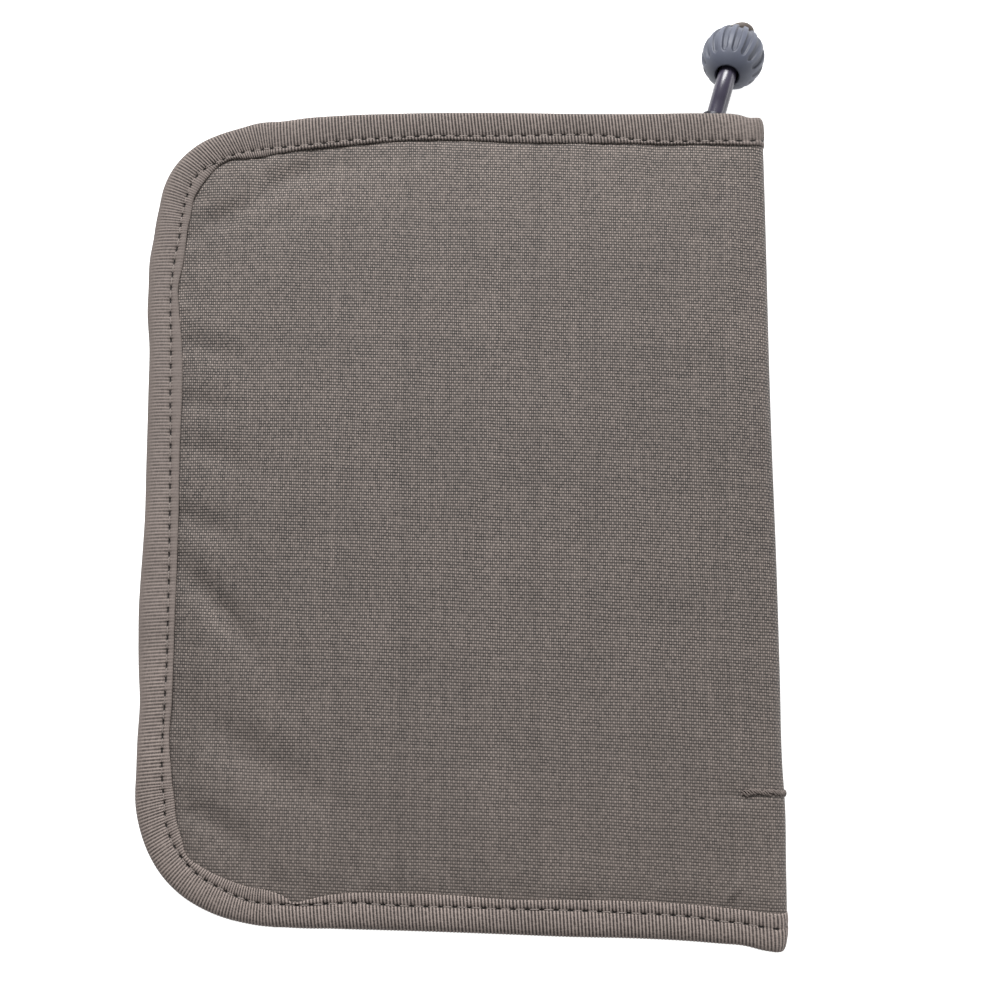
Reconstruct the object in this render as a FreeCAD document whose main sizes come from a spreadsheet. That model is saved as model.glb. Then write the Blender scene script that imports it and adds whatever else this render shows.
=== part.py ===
import FreeCAD, Part
import math
import os

import Sketcher
from FreeCAD import Placement, Rotation, Vector

# A zip-around passport wallet, closed and lying flat.
# +X points to the folded spine, +Y to the end where the zip closes, +Z up through the front cover.
# The origin is the middle of the wallet's footprint, on the surface it lies on.

DIMENSIONS = [
    # the closed wallet
    ("wallet_width", 134.0),
    ("wallet_height", 176.0),
    ("thickness", 18.0),
    ("corner_radius", 27.0),
    ("hinge_gap", 2.5),
    # thickness of each layer
    ("binding", 0.6),
    ("shell", 0.6),
    ("foam", 1.4),
    ("lining", 0.4),
    ("tape", 0.5),
    # the tape folded over each cover's edge
    ("binding_leg", 7.2),
    ("layer_clearance", 0.2),
    ("foam_margin", 2.0),
    ("foam_end", 1.0),
    # the zip: distance in from the edge, and the section of its coil
    ("zip_inset", 8.35),
    ("coil_width", 1.6),
    ("coil_depth", 2.1),
    ("coil_gap", 1.0),
    ("zip_end", 4.5),
    ("coil_end", 6.1),
    ("front_coil_end", 19.6),
    ("stop_end", 5.8),
    ("stop_length", 1.2),
    ("stop_width", 2.2),
    # the spine strip between the covers
    ("spine_low", 1.5),
    # the slider, centred on the coil
    ("slider_back", 12.1),
    ("slider_length", 11.0),
    ("slider_width", 8.6),
    ("slider_plate", 1.0),
    ("slider_channel", 2.2),
    ("slider_slot", 1.1),
    ("slider_lip", 1.0),
    ("slider_cut", 1.6),
    ("slider_nose", 0.5),
    ("nose_tip", 0.125),
    ("nose_start", 0.9),
    ("nose_shoulder", 3.65),
    ("nose_inset", 0.4),
    # the arch on the slider that holds the pull's wire
    ("crown_half", 3.2),
    ("crown_opening", 2.0),
    ("crown_tall", 2.7),
    ("crown_bar", 0.9),
    ("crown_depth", 2.0),
    ("crown_corner", 1.0),
    # the pull
    ("wire_radius", 0.6),
    ("link_half", 1.9),
    ("link_bend", 0.9),
    ("ferrule_start", 3.8),
    ("ferrule_end", 8.0),
    ("ferrule_radius", 2.9),
    ("ferrule_waist", 2.6),
    ("ferrule_floor", 0.6),
    ("cord_radius", 2.1),
    ("ball_reach", 23.62),
    ("ball_height", 7.3),
    ("ball_radius", 7.1),
    ("ball_bore", 2.5),
    ("ball_mouth", 2.9),
    ("mouth_depth", 1.6),
    ("groove_radius", 0.5),
    ("grooves", 16.0),
    ("knot_radius", 3.2),
    ("knot_start", 7.05),
    ("knot_length", 2.6),
    ("knot_edge", 1.0),
    ("knot_floor", 1.4),
    # pockets: sewn hems and fabric
    ("hem", 3.0),
    ("fabric", 0.5),
    ("trim", 0.5),
    ("trim_leg", 5.0),
    ("sleeve_corner", 16.0),
    ("sleeve_gap", 1.2),
    ("passport_gap", 1.3),
    ("card_gap", 0.7),
    ("window_gap", 0.6),
    ("window_margin", 7.5),
    ("vinyl", 0.3),
    ("pen_gap", 4.4),
    ("pen_hem", 1.0),
]

PULL_ANGLE = 73.5
BALL_TILT = 28.0
CROWN_CLEARANCE = 0.9

# pockets, on the back cover or as drawn before the front cover is turned over: low and high x, low and high y
SLEEVE_EDGES = (-56.5, 58.0, 77.0)
SLEEVE_TRIM = (-73.5, 73.5)
PASSPORT_EDGES = (-50.0, 46.0, -75.0, 20.0)
PASSPORT_TRIM = (-46.5, 42.5)
CARD_SIDES = (-48.0, 45.0)
CARD_FOOT = -10.0
CARD_MOUTHS = (-66.0, -54.0, -42.0)
WINDOW_EDGES = (-48.0, 45.0, -4.0, 70.0)
PEN_EDGES = (49.0, 61.0, -62.0, 62.0)

# the cord's route in the plane of the pull: distance from the slider's crown, and height
CORD_ROUTE = [(4.4, 9.0), (9.6, 9.0), (14.5, 10.5), (19.2, 9.9), (24.4, 6.7), (30.8, 3.5)]
ARC_SHARE = 0.45


class Size:
    """A length that knows its number and the spreadsheet formula that gives it."""

    def __init__(self, number, text):
        self.number = float(number)
        self.text = text

    def __add__(self, other):
        other = as_size(other)
        return Size(self.number + other.number, f"({self.text} + {other.text})")

    def __sub__(self, other):
        other = as_size(other)
        return Size(self.number - other.number, f"({self.text} - {other.text})")

    def __mul__(self, factor):
        return Size(self.number * factor, f"({self.text} * {factor})")

    def __truediv__(self, divisor):
        return Size(self.number / divisor, f"({self.text} / {divisor})")

    def __neg__(self):
        return Size(-self.number, f"(0 mm - {self.text})")


def as_size(value):
    if isinstance(value, Size):
        return value
    return Size(value, f"{value} mm")


def make_sheet(doc):
    """Writes the driving dimensions into a spreadsheet and returns them by name."""
    sheet = doc.addObject("Spreadsheet::Sheet", "Dimensions")
    sizes = {}
    for row, (alias, number) in enumerate(DIMENSIONS, start=1):
        sheet.set(f"A{row}", alias)
        sheet.set(f"B{row}", str(number))
        sheet.setAlias(f"B{row}", alias)
        sizes[alias] = Size(number, f"Dimensions.{alias} * 1 mm")
    doc.recompute()
    return sizes


doc = FreeCAD.newDocument("passport_wallet")
d = make_sheet(doc)

# ---------------------------------------------------------------- shared levels and places

half_width = d["wallet_width"] / 2
half_height = d["wallet_height"] / 2
cover_end = half_width - d["hinge_gap"]
zip_end = half_width - d["zip_end"]
coil_end = half_width - d["coil_end"]

shell_low = d["binding"]
foam_low = shell_low + d["shell"]
lining_low = foam_low + d["foam"]
inner_face = lining_low + d["lining"]
leg_low = inner_face + d["tape"]
edge_top = leg_low + d["binding"]
coil_top = (d["thickness"] - d["coil_gap"]) / 2
coil_low = coil_top - d["coil_depth"]

slider_depth = d["slider_plate"] * 2 + d["slider_channel"]
zip_line = half_height - d["zip_inset"]
slider_x = half_width - d["slider_back"]
crown_foot = zip_line + slider_depth / 2
pivot_y = crown_foot + CROWN_CLEARANCE
mid_height = d["thickness"] / 2


# ---------------------------------------------------------------- sketches and features


def new_body(label):
    body = doc.addObject("PartDesign::Body", label)
    body.Label = label
    return body


def new_sketch(body, role, offset=None):
    sketch = body.newObject("Sketcher::SketchObject", f"{body.Label}_sketch")
    plane = next(f for f in body.Origin.OriginFeatures if f.Role == role)
    sketch.AttachmentSupport = [(plane, "")]
    sketch.MapMode = "FlatFace"
    if offset is not None:
        sketch.setExpression("AttachmentOffset.Base.z", offset.text)
    return sketch


def constrain(sketch, *words, size=None):
    """Adds one constraint, bound to the spreadsheet where it has a size."""
    if size is None:
        return sketch.addConstraint(Sketcher.Constraint(*words))
    index = sketch.addConstraint(Sketcher.Constraint(*words, size.number))
    sketch.setExpression(f"Constraints[{index}]", size.text)
    return index


def pin(sketch, geometry, point, x, y):
    """Holds a point of the sketch at x, y from the sketch's origin."""
    for kind, axis, size in (("DistanceX", -2, as_size(x)), ("DistanceY", -1, as_size(y))):
        if abs(size.number) < 1e-9:
            constrain(sketch, "PointOnObject", geometry, point, axis)
        elif size.number > 0:
            constrain(sketch, kind, -1, 1, geometry, point, size=size)
        else:
            constrain(sketch, kind, geometry, point, -1, 1, size=-size)


def outline(sketch, corners):
    """Draws a closed outline. Each corner is (x, y), or (x, y, radius) where square sides meet in an arc."""
    corners = [tuple(as_size(v) for v in corner) for corner in corners]
    places = [Vector(c[0].number, c[1].number, 0) for c in corners]
    count = len(corners)
    entries, exits, arcs = [], [], {}
    for i, corner in enumerate(corners):
        here = places[i]
        towards = (here - places[i - 1]).normalize()
        onwards = (places[(i + 1) % count] - here).normalize()
        radius = corner[2].number if len(corner) == 3 else 0.0
        entries.append(here - towards * radius)
        exits.append(here + onwards * radius)
        if radius:
            left_turn = towards.cross(onwards).z > 0
            first, last = (entries[i], exits[i]) if left_turn else (exits[i], entries[i])
            centre = here - towards * radius + onwards * radius
            circle = Part.Circle(centre, Vector(0, 0, 1), radius)
            start = math.atan2(first.y - centre.y, first.x - centre.x)
            end = math.atan2(last.y - centre.y, last.x - centre.x)
            arc = sketch.addGeometry(Part.ArcOfCircle(circle, start, end))
            arcs[i] = (arc, 1 if left_turn else 2, 2 if left_turn else 1, towards, onwards)
    lines = [
        sketch.addGeometry(Part.LineSegment(exits[i], entries[(i + 1) % count])) for i in range(count)
    ]
    for i, corner in enumerate(corners):
        before, after = lines[i - 1], lines[i]
        if i not in arcs:
            constrain(sketch, "Coincident", before, 2, after, 1)
            pin(sketch, after, 1, corner[0], corner[1])
            continue
        arc, entry_end, exit_end, towards, onwards = arcs[i]
        constrain(sketch, "Tangent", before, 2, arc, entry_end)
        constrain(sketch, "Tangent", arc, exit_end, after, 1)
        constrain(sketch, "Radius", arc, size=corner[2])
        centre_x = corner[0] + corner[2] * round(onwards.x - towards.x)
        centre_y = corner[1] + corner[2] * round(onwards.y - towards.y)
        pin(sketch, arc, 3, centre_x, centre_y)


def rectangle(x_low, x_high, y_low, y_high):
    return [(x_low, y_low), (x_high, y_low), (x_high, y_high), (x_low, y_high)]


def pad(body, sketch, length, symmetric=False):
    feature = body.newObject("PartDesign::Pad", f"{body.Label}_pad")
    feature.Profile = sketch
    if symmetric:
        feature.SideType = "Symmetric"
    feature.setExpression("Length", length.text)
    body.Tip = feature
    return feature


def pocket(body, sketch, length, symmetric=False):
    feature = body.newObject("PartDesign::Pocket", f"{body.Label}_pocket")
    feature.Profile = sketch
    if symmetric:
        feature.SideType = "Symmetric"
    feature.setExpression("Length", length.text)
    body.Tip = feature
    return feature


def place(item, x, y, z):
    """Moves a piece so that its own origin is at x, y, z, bound to the spreadsheet."""
    for axis, size in (("x", x), ("y", y), ("z", z)):
        item.setExpression(f"Placement.Base.{axis}", size.text)


def slab(body, corners, low, height, *holes):
    """Adds a flat layer with this outline, from height low upwards."""
    sketch = new_sketch(body, "XY_Plane", low)
    outline(sketch, corners)
    for hole in holes:
        outline(sketch, hole)
    pad(body, sketch, height)


# ---------------------------------------------------------------- outlines of the covers


def cover_outline(inset, end):
    """A cover's outline: two rounded corners at the free edge, square where it meets the spine."""
    radius = d["corner_radius"] - inset
    left = inset - half_width
    top = half_height - inset
    return [(left, -top, radius), (end, -top), (end, top), (left, top, radius)]


def edge_band(outer, inner, end_bottom, end_top):
    """The band between two insets that runs round the three free edges."""
    outer_left, inner_left = outer - half_width, inner - half_width
    outer_top, inner_top = half_height - outer, half_height - inner
    outer_radius = d["corner_radius"] - outer
    inner_radius = d["corner_radius"] - inner
    return [
        (outer_left, -outer_top, outer_radius),
        (end_bottom, -outer_top),
        (end_bottom, -inner_top),
        (inner_left, -inner_top, inner_radius),
        (inner_left, inner_top, inner_radius),
        (end_top, inner_top),
        (end_top, outer_top),
        (outer_left, outer_top, outer_radius),
    ]


# ---------------------------------------------------------------- the two covers


def outer_panel(label):
    """The shell fabric: tucked under the binding at its edge, and standing as high as it in the middle."""
    body = new_body(label)
    slab(body, cover_outline(d["binding"], cover_end), shell_low, d["shell"])
    middle = d["binding_leg"] + d["layer_clearance"]
    slab(body, cover_outline(middle, cover_end), as_size(0.0), d["binding"])
    return body


def foam_sheet(label):
    body = new_body(label)
    slab(body, cover_outline(d["foam_margin"], cover_end - d["foam_end"]), foam_low, d["foam"])
    return body


def lining_panel(label):
    body = new_body(label)
    slab(body, cover_outline(d["binding"], cover_end), lining_low, d["lining"])
    return body


def edge_binding(label):
    """Tape folded over the edge of all the layers, open towards the middle of the cover."""
    body = new_body(label)
    nothing = as_size(0.0)
    leg = edge_band(nothing, d["binding_leg"], cover_end, cover_end)
    slab(body, leg, nothing, d["binding"])
    slab(body, edge_band(nothing, d["binding"], cover_end, cover_end), nothing, edge_top)
    slab(body, leg, leg_low, d["binding"])
    return body


def zip_tape(label):
    """Half of the zip's tape: sewn flat between lining and binding, then standing up to the coil."""
    body = new_body(label)
    wall_outer = d["zip_inset"] - d["tape"] / 2
    wall_inner = d["zip_inset"] + d["tape"] / 2
    slab(body, edge_band(d["binding"], wall_inner, zip_end, zip_end), inner_face, d["tape"])
    slab(body, edge_band(wall_outer, wall_inner, zip_end, zip_end), inner_face, coil_low - inner_face)
    return body


def zip_coil(label, end_bottom, end_top):
    body = new_body(label)
    outer = d["zip_inset"] - d["coil_width"] / 2
    inner = d["zip_inset"] + d["coil_width"] / 2
    slab(body, edge_band(outer, inner, end_bottom, end_top), coil_low, d["coil_depth"])
    return body


def zip_stops(label):
    """The two metal stops at the ends of one half of the zip."""
    stops = []
    for sign in (1, -1):
        box = doc.addObject("Part::Box", f"{label}_stop")
        box.setExpression("Length", d["stop_length"].text)
        box.setExpression("Width", d["stop_width"].text)
        box.setExpression("Height", d["coil_depth"].text)
        box.setExpression("Placement.Base.x", (half_width - d["stop_end"]).text)
        box.setExpression("Placement.Base.y", (zip_line * sign - d["stop_width"] / 2).text)
        box.setExpression("Placement.Base.z", coil_low.text)
        stops.append(box)
    group = doc.addObject("Part::Compound", label)
    group.Label = label
    group.Links = stops
    return group


# ---------------------------------------------------------------- the spine


def spine_strip(label, x_low, depth, bulge=None):
    body = new_body(label)
    high = d["thickness"] - d["spine_low"]
    reach = half_height - d["binding"]
    slab(body, rectangle(x_low, x_low + depth, -reach, reach), d["spine_low"], high - d["spine_low"])
    if bulge is not None:
        reach = half_height - d["binding_leg"] - d["layer_clearance"]
        corners = rectangle(x_low + depth, x_low + depth + bulge, -reach, reach)
        slab(body, corners, d["spine_low"], high - d["spine_low"])
    return body


def spine_binding(label, side):
    """Tape folded over one end of the spine's layers: a channel lying on its side."""
    body = new_body(label)
    outside = half_width
    inside = half_width - d["binding"] * 2 - d["shell"] - d["lining"]
    end = half_height * side
    wall = (half_height - d["binding"]) * side
    leg = (half_height - d["binding_leg"]) * side
    corners = [
        (outside, leg),
        (outside, end),
        (inside, end),
        (inside, leg),
        (inside + d["binding"], leg),
        (inside + d["binding"], wall),
        (outside - d["binding"], wall),
        (outside - d["binding"], leg),
    ]
    if side < 0:
        corners.reverse()
    slab(body, corners, d["spine_low"], d["thickness"] - d["spine_low"] * 2)
    return body


# ---------------------------------------------------------------- pockets


def hem_outline(x_low, x_high, y_low, y_high, hem, mouth):
    """The hem that sews a pocket down on three sides; mouth names its open end, top or bottom."""
    closed, opened, step = (y_low, y_high, hem) if mouth == "top" else (y_high, y_low, -hem)
    corners = [
        (x_low, opened),
        (x_low, closed),
        (x_high, closed),
        (x_high, opened),
        (x_high - hem, opened),
        (x_high - hem, closed + step),
        (x_low + hem, closed + step),
        (x_low + hem, opened),
    ]
    if mouth != "top":
        corners.reverse()
    return corners


def flat_pocket(label, x_low, x_high, y_low, y_high, low, gap, mouth, hem=None):
    """A pocket: a piece of fabric on a hem, with a gap behind it that opens at its mouth."""
    body = new_body(label)
    sides = [as_size(v) for v in (x_low, x_high, y_low, y_high)]
    slab(body, hem_outline(*sides, hem or d["hem"], mouth), low, gap)
    slab(body, rectangle(*sides), low + gap, d["fabric"])
    return body


def document_sleeve(label, x_low, x_high, y_half, low, gap):
    """A full-height pocket that opens towards the spine, its other corners round like the cover's."""
    body = new_body(label)
    x_low, x_high, y_half = [as_size(v) for v in (x_low, x_high, y_half)]
    hem, radius = d["hem"], d["sleeve_corner"]
    fabric = [(x_low, -y_half, radius), (x_high, -y_half), (x_high, y_half), (x_low, y_half, radius)]
    inside = [
        (x_high, y_half - hem),
        (x_low + hem, y_half - hem, radius - hem),
        (x_low + hem, hem - y_half, radius - hem),
        (x_high, hem - y_half),
    ]
    hem_band = [fabric[2], fabric[3], fabric[0], fabric[1], *reversed(inside)]
    slab(body, hem_band, low, gap)
    slab(body, fabric, low + gap, d["fabric"])
    return body


def mouth_binding(label, low, mouth, edge, start, end):
    """Tape folded over a pocket's mouth. edge is where the fabric ends; start and end are the tape's ends."""
    body = new_body(label)
    edge, start, end = as_size(edge), as_size(start), as_size(end)

    def strip(near, far, height, thick):
        if mouth == "right":
            slab(body, rectangle(near, far, start, end), height, thick)
        else:
            slab(body, rectangle(start, end, near, far), height, thick)

    top = low + d["fabric"]
    strip(edge - d["trim_leg"], edge + d["trim"], top, d["trim"])
    strip(edge, edge + d["trim"], low - d["trim"], d["fabric"] + d["trim"] * 2)
    strip(edge - d["trim_leg"], edge + d["trim"], low - d["trim"], d["trim"])
    return body


def window_frame(label, sides, margin, low):
    """The fabric round the clear window, on a hem that leaves its upper edge open."""
    body = new_body(label)
    x_low, x_high, y_low, y_high = [as_size(v) for v in sides]
    gap = d["window_gap"] + d["vinyl"]
    slab(body, hem_outline(x_low, x_high, y_low, y_high, d["hem"], "bottom"), low, gap)
    hole = rectangle(x_low + margin, x_high - margin, y_low + margin, y_high - margin)
    slab(body, rectangle(x_low, x_high, y_low, y_high), low + gap, d["fabric"], hole)
    return body


def clear_window(label, sides, low):
    body = new_body(label)
    x_low, x_high, y_low, y_high = [as_size(v) for v in sides]
    hem = d["hem"]
    corners = rectangle(x_low + hem, x_high - hem, y_low, y_high - hem)
    slab(body, corners, low + d["window_gap"], d["vinyl"])
    return body


# ---------------------------------------------------------------- the slider


def slider_body(label):
    """Two plates joined by the nose, with lips turned in towards the tape. Its own origin is its centre."""
    body = new_body(label)
    length = d["slider_length"] / 2
    width = d["slider_width"] / 2
    cut = d["slider_cut"]
    plates = new_sketch(body, "XZ_Plane")
    plate_corners = [
        (-length, cut - width),
        (cut - length, -width),
        (length - cut, -width),
        (length, cut - width),
        (length, width - cut),
        (length - cut, width),
        (cut - length, width),
        (-length, width - cut),
    ]
    outline(plates, plate_corners)
    pad(body, plates, slider_depth, symmetric=True)

    channel = new_sketch(body, "XZ_Plane")
    beyond = d["slider_width"]
    outline(channel, rectangle(-beyond, beyond, -beyond, beyond))
    nose, tip = d["slider_nose"] / 2, d["nose_tip"] / 2
    nose_end = length - d["nose_inset"]
    nose_corners = [
        (d["nose_start"], -tip),
        (d["nose_shoulder"], -nose),
        (nose_end, -nose),
        (nose_end, nose),
        (d["nose_shoulder"], nose),
        (d["nose_start"], tip),
    ]
    outline(channel, nose_corners)
    pocket(body, channel, d["slider_channel"], symmetric=True)

    lips = new_sketch(body, "YZ_Plane")
    slot = d["slider_slot"] / 2
    wall = d["slider_channel"] / 2 + d["slider_plate"] / 2
    for y_low, y_high in ((slot, wall), (-wall, -slot)):
        for z_low, z_high in ((width - d["slider_lip"], width), (-width, d["slider_lip"] - width)):
            outline(lips, rectangle(y_low, y_high, z_low, z_high))
    pad(body, lips, d["slider_length"] - cut * 2, symmetric=True)
    place(body, slider_x, zip_line, mid_height)
    return body


def slider_crown(label):
    """The arch on the slider's outer plate; the pull's wire turns in it. Its own origin is at its foot."""
    body = new_body(label)
    arch = new_sketch(body, "XY_Plane")
    half, opening, tall = d["crown_half"], d["crown_opening"], d["crown_tall"]
    under = tall - d["crown_bar"]
    flat = as_size(0.0)
    arch_corners = [
        (-half, flat),
        (-opening, flat),
        (-opening, under, d["crown_corner"] / 2),
        (opening, under, d["crown_corner"] / 2),
        (opening, flat),
        (half, flat),
        (half, tall, d["crown_corner"]),
        (-half, tall, d["crown_corner"]),
    ]
    outline(arch, arch_corners)
    pad(body, arch, d["crown_depth"], symmetric=True)
    place(body, slider_x, crown_foot, mid_height)
    return body


# ---------------------------------------------------------------- the pull
# It is drawn in the upright plane that holds the cord: x is the distance from the crown, z the height.


def pull_placement():
    pivot = Vector(slider_x.number, pivot_y.number, 0)
    return Placement(pivot, Rotation(Vector(0, 0, 1), PULL_ANGLE))


def rounded_path(points, radius=None):
    """Straight runs joined by tangent arcs, each arc as large as its two runs allow."""
    edges = []
    start = points[0]
    for before, here, after in zip(points, points[1:], points[2:]):
        towards, onwards = here - before, after - here
        half_turn = towards.getAngle(onwards) / 2
        bend = radius or ARC_SHARE * min(towards.Length, onwards.Length) / math.tan(half_turn)
        trim = bend * math.tan(half_turn)
        towards.normalize()
        onwards.normalize()
        first, last = here - towards * trim, here + onwards * trim
        inward = (onwards - towards).normalize()
        middle = here + inward * (bend / math.cos(half_turn) - bend)
        edges.append(Part.LineSegment(start, first).toShape())
        edges.append(Part.Arc(first, middle, last).toShape())
        print(f"bend of radius {bend:.1f} mm, turning {math.degrees(half_turn) * 2:.1f} degrees")
        start = last
    edges.append(Part.LineSegment(start, points[-1]).toShape())
    return Part.Wire(edges)


def tube(label, points, radius, bend=None):
    """A round bar or cord along a path in the pull's plane."""
    path = rounded_path(points, bend)
    direction = points[1] - points[0]
    profile = Part.Wire(Part.Circle(points[0], direction, radius.number).toShape())
    shape = path.makePipeShell([profile], True, False)
    expected = math.pi * radius.number**2 * path.Length
    print(f"{label}: {path.Length:.1f} mm long, {shape.Volume / expected:.4f} of section times length")
    item = doc.addObject("Part::Feature", label)
    item.Label = label
    item.Shape = shape
    item.Placement = pull_placement()
    return item


def pull_link(label):
    """A U of wire: its bar turns in the crown and its legs end in the ferrule."""
    level = mid_height.number
    half = d["link_half"].number
    reach = d["ferrule_start"].number
    corners = [(reach, level + half), (0, level + half), (0, level - half), (reach, level - half)]
    points = [Vector(x, 0, z) for x, z in corners]
    return tube(label, points, d["wire_radius"], d["link_bend"].number)


def pull_cord(label):
    return tube(label, [Vector(x, 0, z) for x, z in CORD_ROUTE], d["cord_radius"])


def revolved(label, corners):
    """A body turned about its own x axis; corners are (x, radius) or (x, radius, arc radius)."""
    body = new_body(label)
    sketch = new_sketch(body, "XY_Plane")
    outline(sketch, corners)
    feature = body.newObject("PartDesign::Revolution", f"{label}_turned")
    feature.Profile = sketch
    feature.ReferenceAxis = (sketch, ["H_Axis"])
    feature.Angle = 360
    body.Tip = feature
    return body


def pull_ferrule(label):
    """The crimped metal sleeve that joins the wire to the cord: a cup with a waist."""
    start, end = d["ferrule_start"], d["ferrule_end"]
    quarter = (end - start) / 4
    outer, waist, bore = d["ferrule_radius"], d["ferrule_waist"], d["cord_radius"]
    floor = start + d["ferrule_floor"]
    axis = as_size(0.0)
    corners = [
        (start, axis),
        (floor, axis),
        (floor, bore),
        (end, bore),
        (end, outer),
        (end - quarter, outer),
        (end - quarter * 1.5, waist),
        (start + quarter * 1.5, waist),
        (start + quarter, outer),
        (start, outer),
    ]
    body = revolved(label, corners)
    level = Placement(Vector(0, 0, mid_height.number), Rotation())
    body.Placement = pull_placement().multiply(level)
    return body


def ball_placement():
    centre = Vector(d["ball_reach"].number, 0, d["ball_height"].number)
    tilt = Placement(centre, Rotation(Vector(0, 1, 0), BALL_TILT))
    return pull_placement().multiply(tilt)


def pull_ball(label):
    """A bored ball with grooves moulded round it, wider at its mouth, where the cord enters."""
    body = new_body(label)
    sketch = new_sketch(body, "XY_Plane")
    radius = d["ball_radius"].number
    bore = d["ball_bore"]
    mouth = d["ball_mouth"]
    mouth_x = math.sqrt(radius**2 - mouth.number**2)
    far_x = math.sqrt(radius**2 - bore.number**2)
    circle = Part.Circle(Vector(0, 0, 0), Vector(0, 0, 1), radius)
    start = math.atan2(bore.number, far_x)
    end = math.atan2(mouth.number, -mouth_x)
    arc = sketch.addGeometry(Part.ArcOfCircle(circle, start, end))
    inner_x = -mouth_x + d["mouth_depth"].number
    points = [
        Vector(-mouth_x, mouth.number, 0),
        Vector(inner_x, bore.number, 0),
        Vector(far_x, bore.number, 0),
    ]
    cone = sketch.addGeometry(Part.LineSegment(points[0], points[1]))
    wall = sketch.addGeometry(Part.LineSegment(points[1], points[2]))
    constrain(sketch, "Coincident", arc, 3, -1, 1)
    constrain(sketch, "Radius", arc, size=d["ball_radius"])
    constrain(sketch, "Coincident", arc, 2, cone, 1)
    constrain(sketch, "Coincident", cone, 2, wall, 1)
    constrain(sketch, "Coincident", wall, 2, arc, 1)
    constrain(sketch, "Horizontal", wall)
    constrain(sketch, "DistanceY", -1, 1, wall, 1, size=bore)
    constrain(sketch, "DistanceY", -1, 1, cone, 1, size=mouth)
    constrain(sketch, "DistanceX", cone, 1, cone, 2, size=d["mouth_depth"])
    ball = body.newObject("PartDesign::Revolution", f"{label}_turned")
    ball.Profile = sketch
    ball.ReferenceAxis = (sketch, ["H_Axis"])
    ball.Angle = 360
    body.Tip = ball
    doc.recompute()
    smooth = ball.Shape.Volume

    groove = new_sketch(body, "YZ_Plane")
    ring = groove.addGeometry(Part.Circle(Vector(0, radius, 0), Vector(0, 0, 1), d["groove_radius"].number))
    constrain(groove, "PointOnObject", ring, 3, -2)
    constrain(groove, "DistanceY", -1, 1, ring, 3, size=d["ball_radius"])
    constrain(groove, "Radius", ring, size=d["groove_radius"])
    cut = pocket(body, groove, d["ball_radius"] * 2, symmetric=True)
    pattern = body.newObject("PartDesign::PolarPattern", f"{label}_grooves")
    pattern.Originals = [cut]
    pattern.Axis = (sketch, ["H_Axis"])
    pattern.Angle = 360
    pattern.Occurrences = int(d["grooves"].number)
    body.Tip = pattern
    body.Placement = ball_placement()
    doc.recompute()
    print(f"{label}: the grooves take {smooth - body.Shape.Volume:.1f} of {smooth:.1f} cubic mm")
    return body


def pull_knot(label):
    """The knot that keeps the ball on the cord: a round-edged disc about the cord's end."""
    start = d["knot_start"]
    end = start + d["knot_length"]
    outer, bore, edge = d["knot_radius"], d["cord_radius"], d["knot_edge"]
    axis = as_size(0.0)
    floor = end - d["knot_floor"]
    corners = [
        (start, bore),
        (floor, bore),
        (floor, axis),
        (end, axis),
        (end, outer, edge),
        (start, outer, edge / 2),
    ]
    corners.reverse()
    body = revolved(label, corners)
    body.Placement = ball_placement()
    return body


# ---------------------------------------------------------------- the assembly


def turned_over(item):
    """Turns a cover's piece over about the X axis, so that it belongs to the front cover."""
    item.Placement = Placement(Vector(0, 0, 0), Rotation(Vector(1, 0, 0), 180))
    item.setExpression("Placement.Base.z", d["thickness"].text)
    return item


def make_back_cover():
    sleeve_low = inner_face
    sleeve_fabric = sleeve_low + d["sleeve_gap"]
    passport_low = sleeve_fabric + d["fabric"]
    passport_fabric = passport_low + d["passport_gap"]
    return [
        outer_panel("back_outer_panel"),
        foam_sheet("back_foam"),
        lining_panel("back_lining"),
        edge_binding("back_edge_binding"),
        zip_tape("back_zip_tape"),
        zip_coil("back_zip_coil", coil_end, coil_end),
        zip_stops("back_zip_stops"),
        document_sleeve("document_sleeve", *SLEEVE_EDGES, sleeve_low, d["sleeve_gap"]),
        mouth_binding("document_sleeve_binding", sleeve_fabric, "right", SLEEVE_EDGES[1], *SLEEVE_TRIM),
        flat_pocket("passport_pocket", *PASSPORT_EDGES, passport_low, d["passport_gap"], "top"),
        mouth_binding("passport_pocket_binding", passport_fabric, "top", PASSPORT_EDGES[3], *PASSPORT_TRIM),
    ]


def make_front_cover():
    """The pieces are drawn as for the back cover and turned over: a mouth at the bottom ends up at the top."""
    pieces = [
        outer_panel("front_outer_panel"),
        foam_sheet("front_foam"),
        lining_panel("front_lining"),
        edge_binding("front_edge_binding"),
        zip_tape("front_zip_tape"),
        zip_coil("front_zip_coil", half_width - d["front_coil_end"], coil_end),
        zip_stops("front_zip_stops"),
    ]
    low = inner_face
    for number, mouth_y in enumerate(CARD_MOUTHS, start=1):
        edges = (*CARD_SIDES, mouth_y, CARD_FOOT)
        pieces.append(flat_pocket(f"card_slot_{number}", *edges, low, d["card_gap"], "bottom"))
        low = low + d["card_gap"] + d["fabric"]
    pieces.append(window_frame("id_window_frame", WINDOW_EDGES, d["window_margin"], inner_face))
    pieces.append(clear_window("id_window", WINDOW_EDGES, inner_face))
    pieces.append(flat_pocket("pen_sleeve", *PEN_EDGES, inner_face, d["pen_gap"], "bottom", d["pen_hem"]))
    return [turned_over(piece) for piece in pieces]


def make_spine():
    shell_x = half_width - d["binding"] - d["shell"]
    lining_x = shell_x - d["lining"]
    return [
        spine_strip("spine_outer_panel", shell_x, d["shell"], d["binding"]),
        spine_strip("spine_lining", lining_x, d["lining"]),
        spine_binding("spine_binding_top", 1),
        spine_binding("spine_binding_bottom", -1),
    ]


def make_zip_slider():
    return [slider_body("slider_body"), slider_crown("slider_crown")]


def make_zip_pull():
    return [
        pull_link("pull_link"),
        pull_ferrule("pull_ferrule"),
        pull_cord("pull_cord"),
        pull_ball("pull_ball"),
        pull_knot("pull_knot"),
    ]


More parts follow.
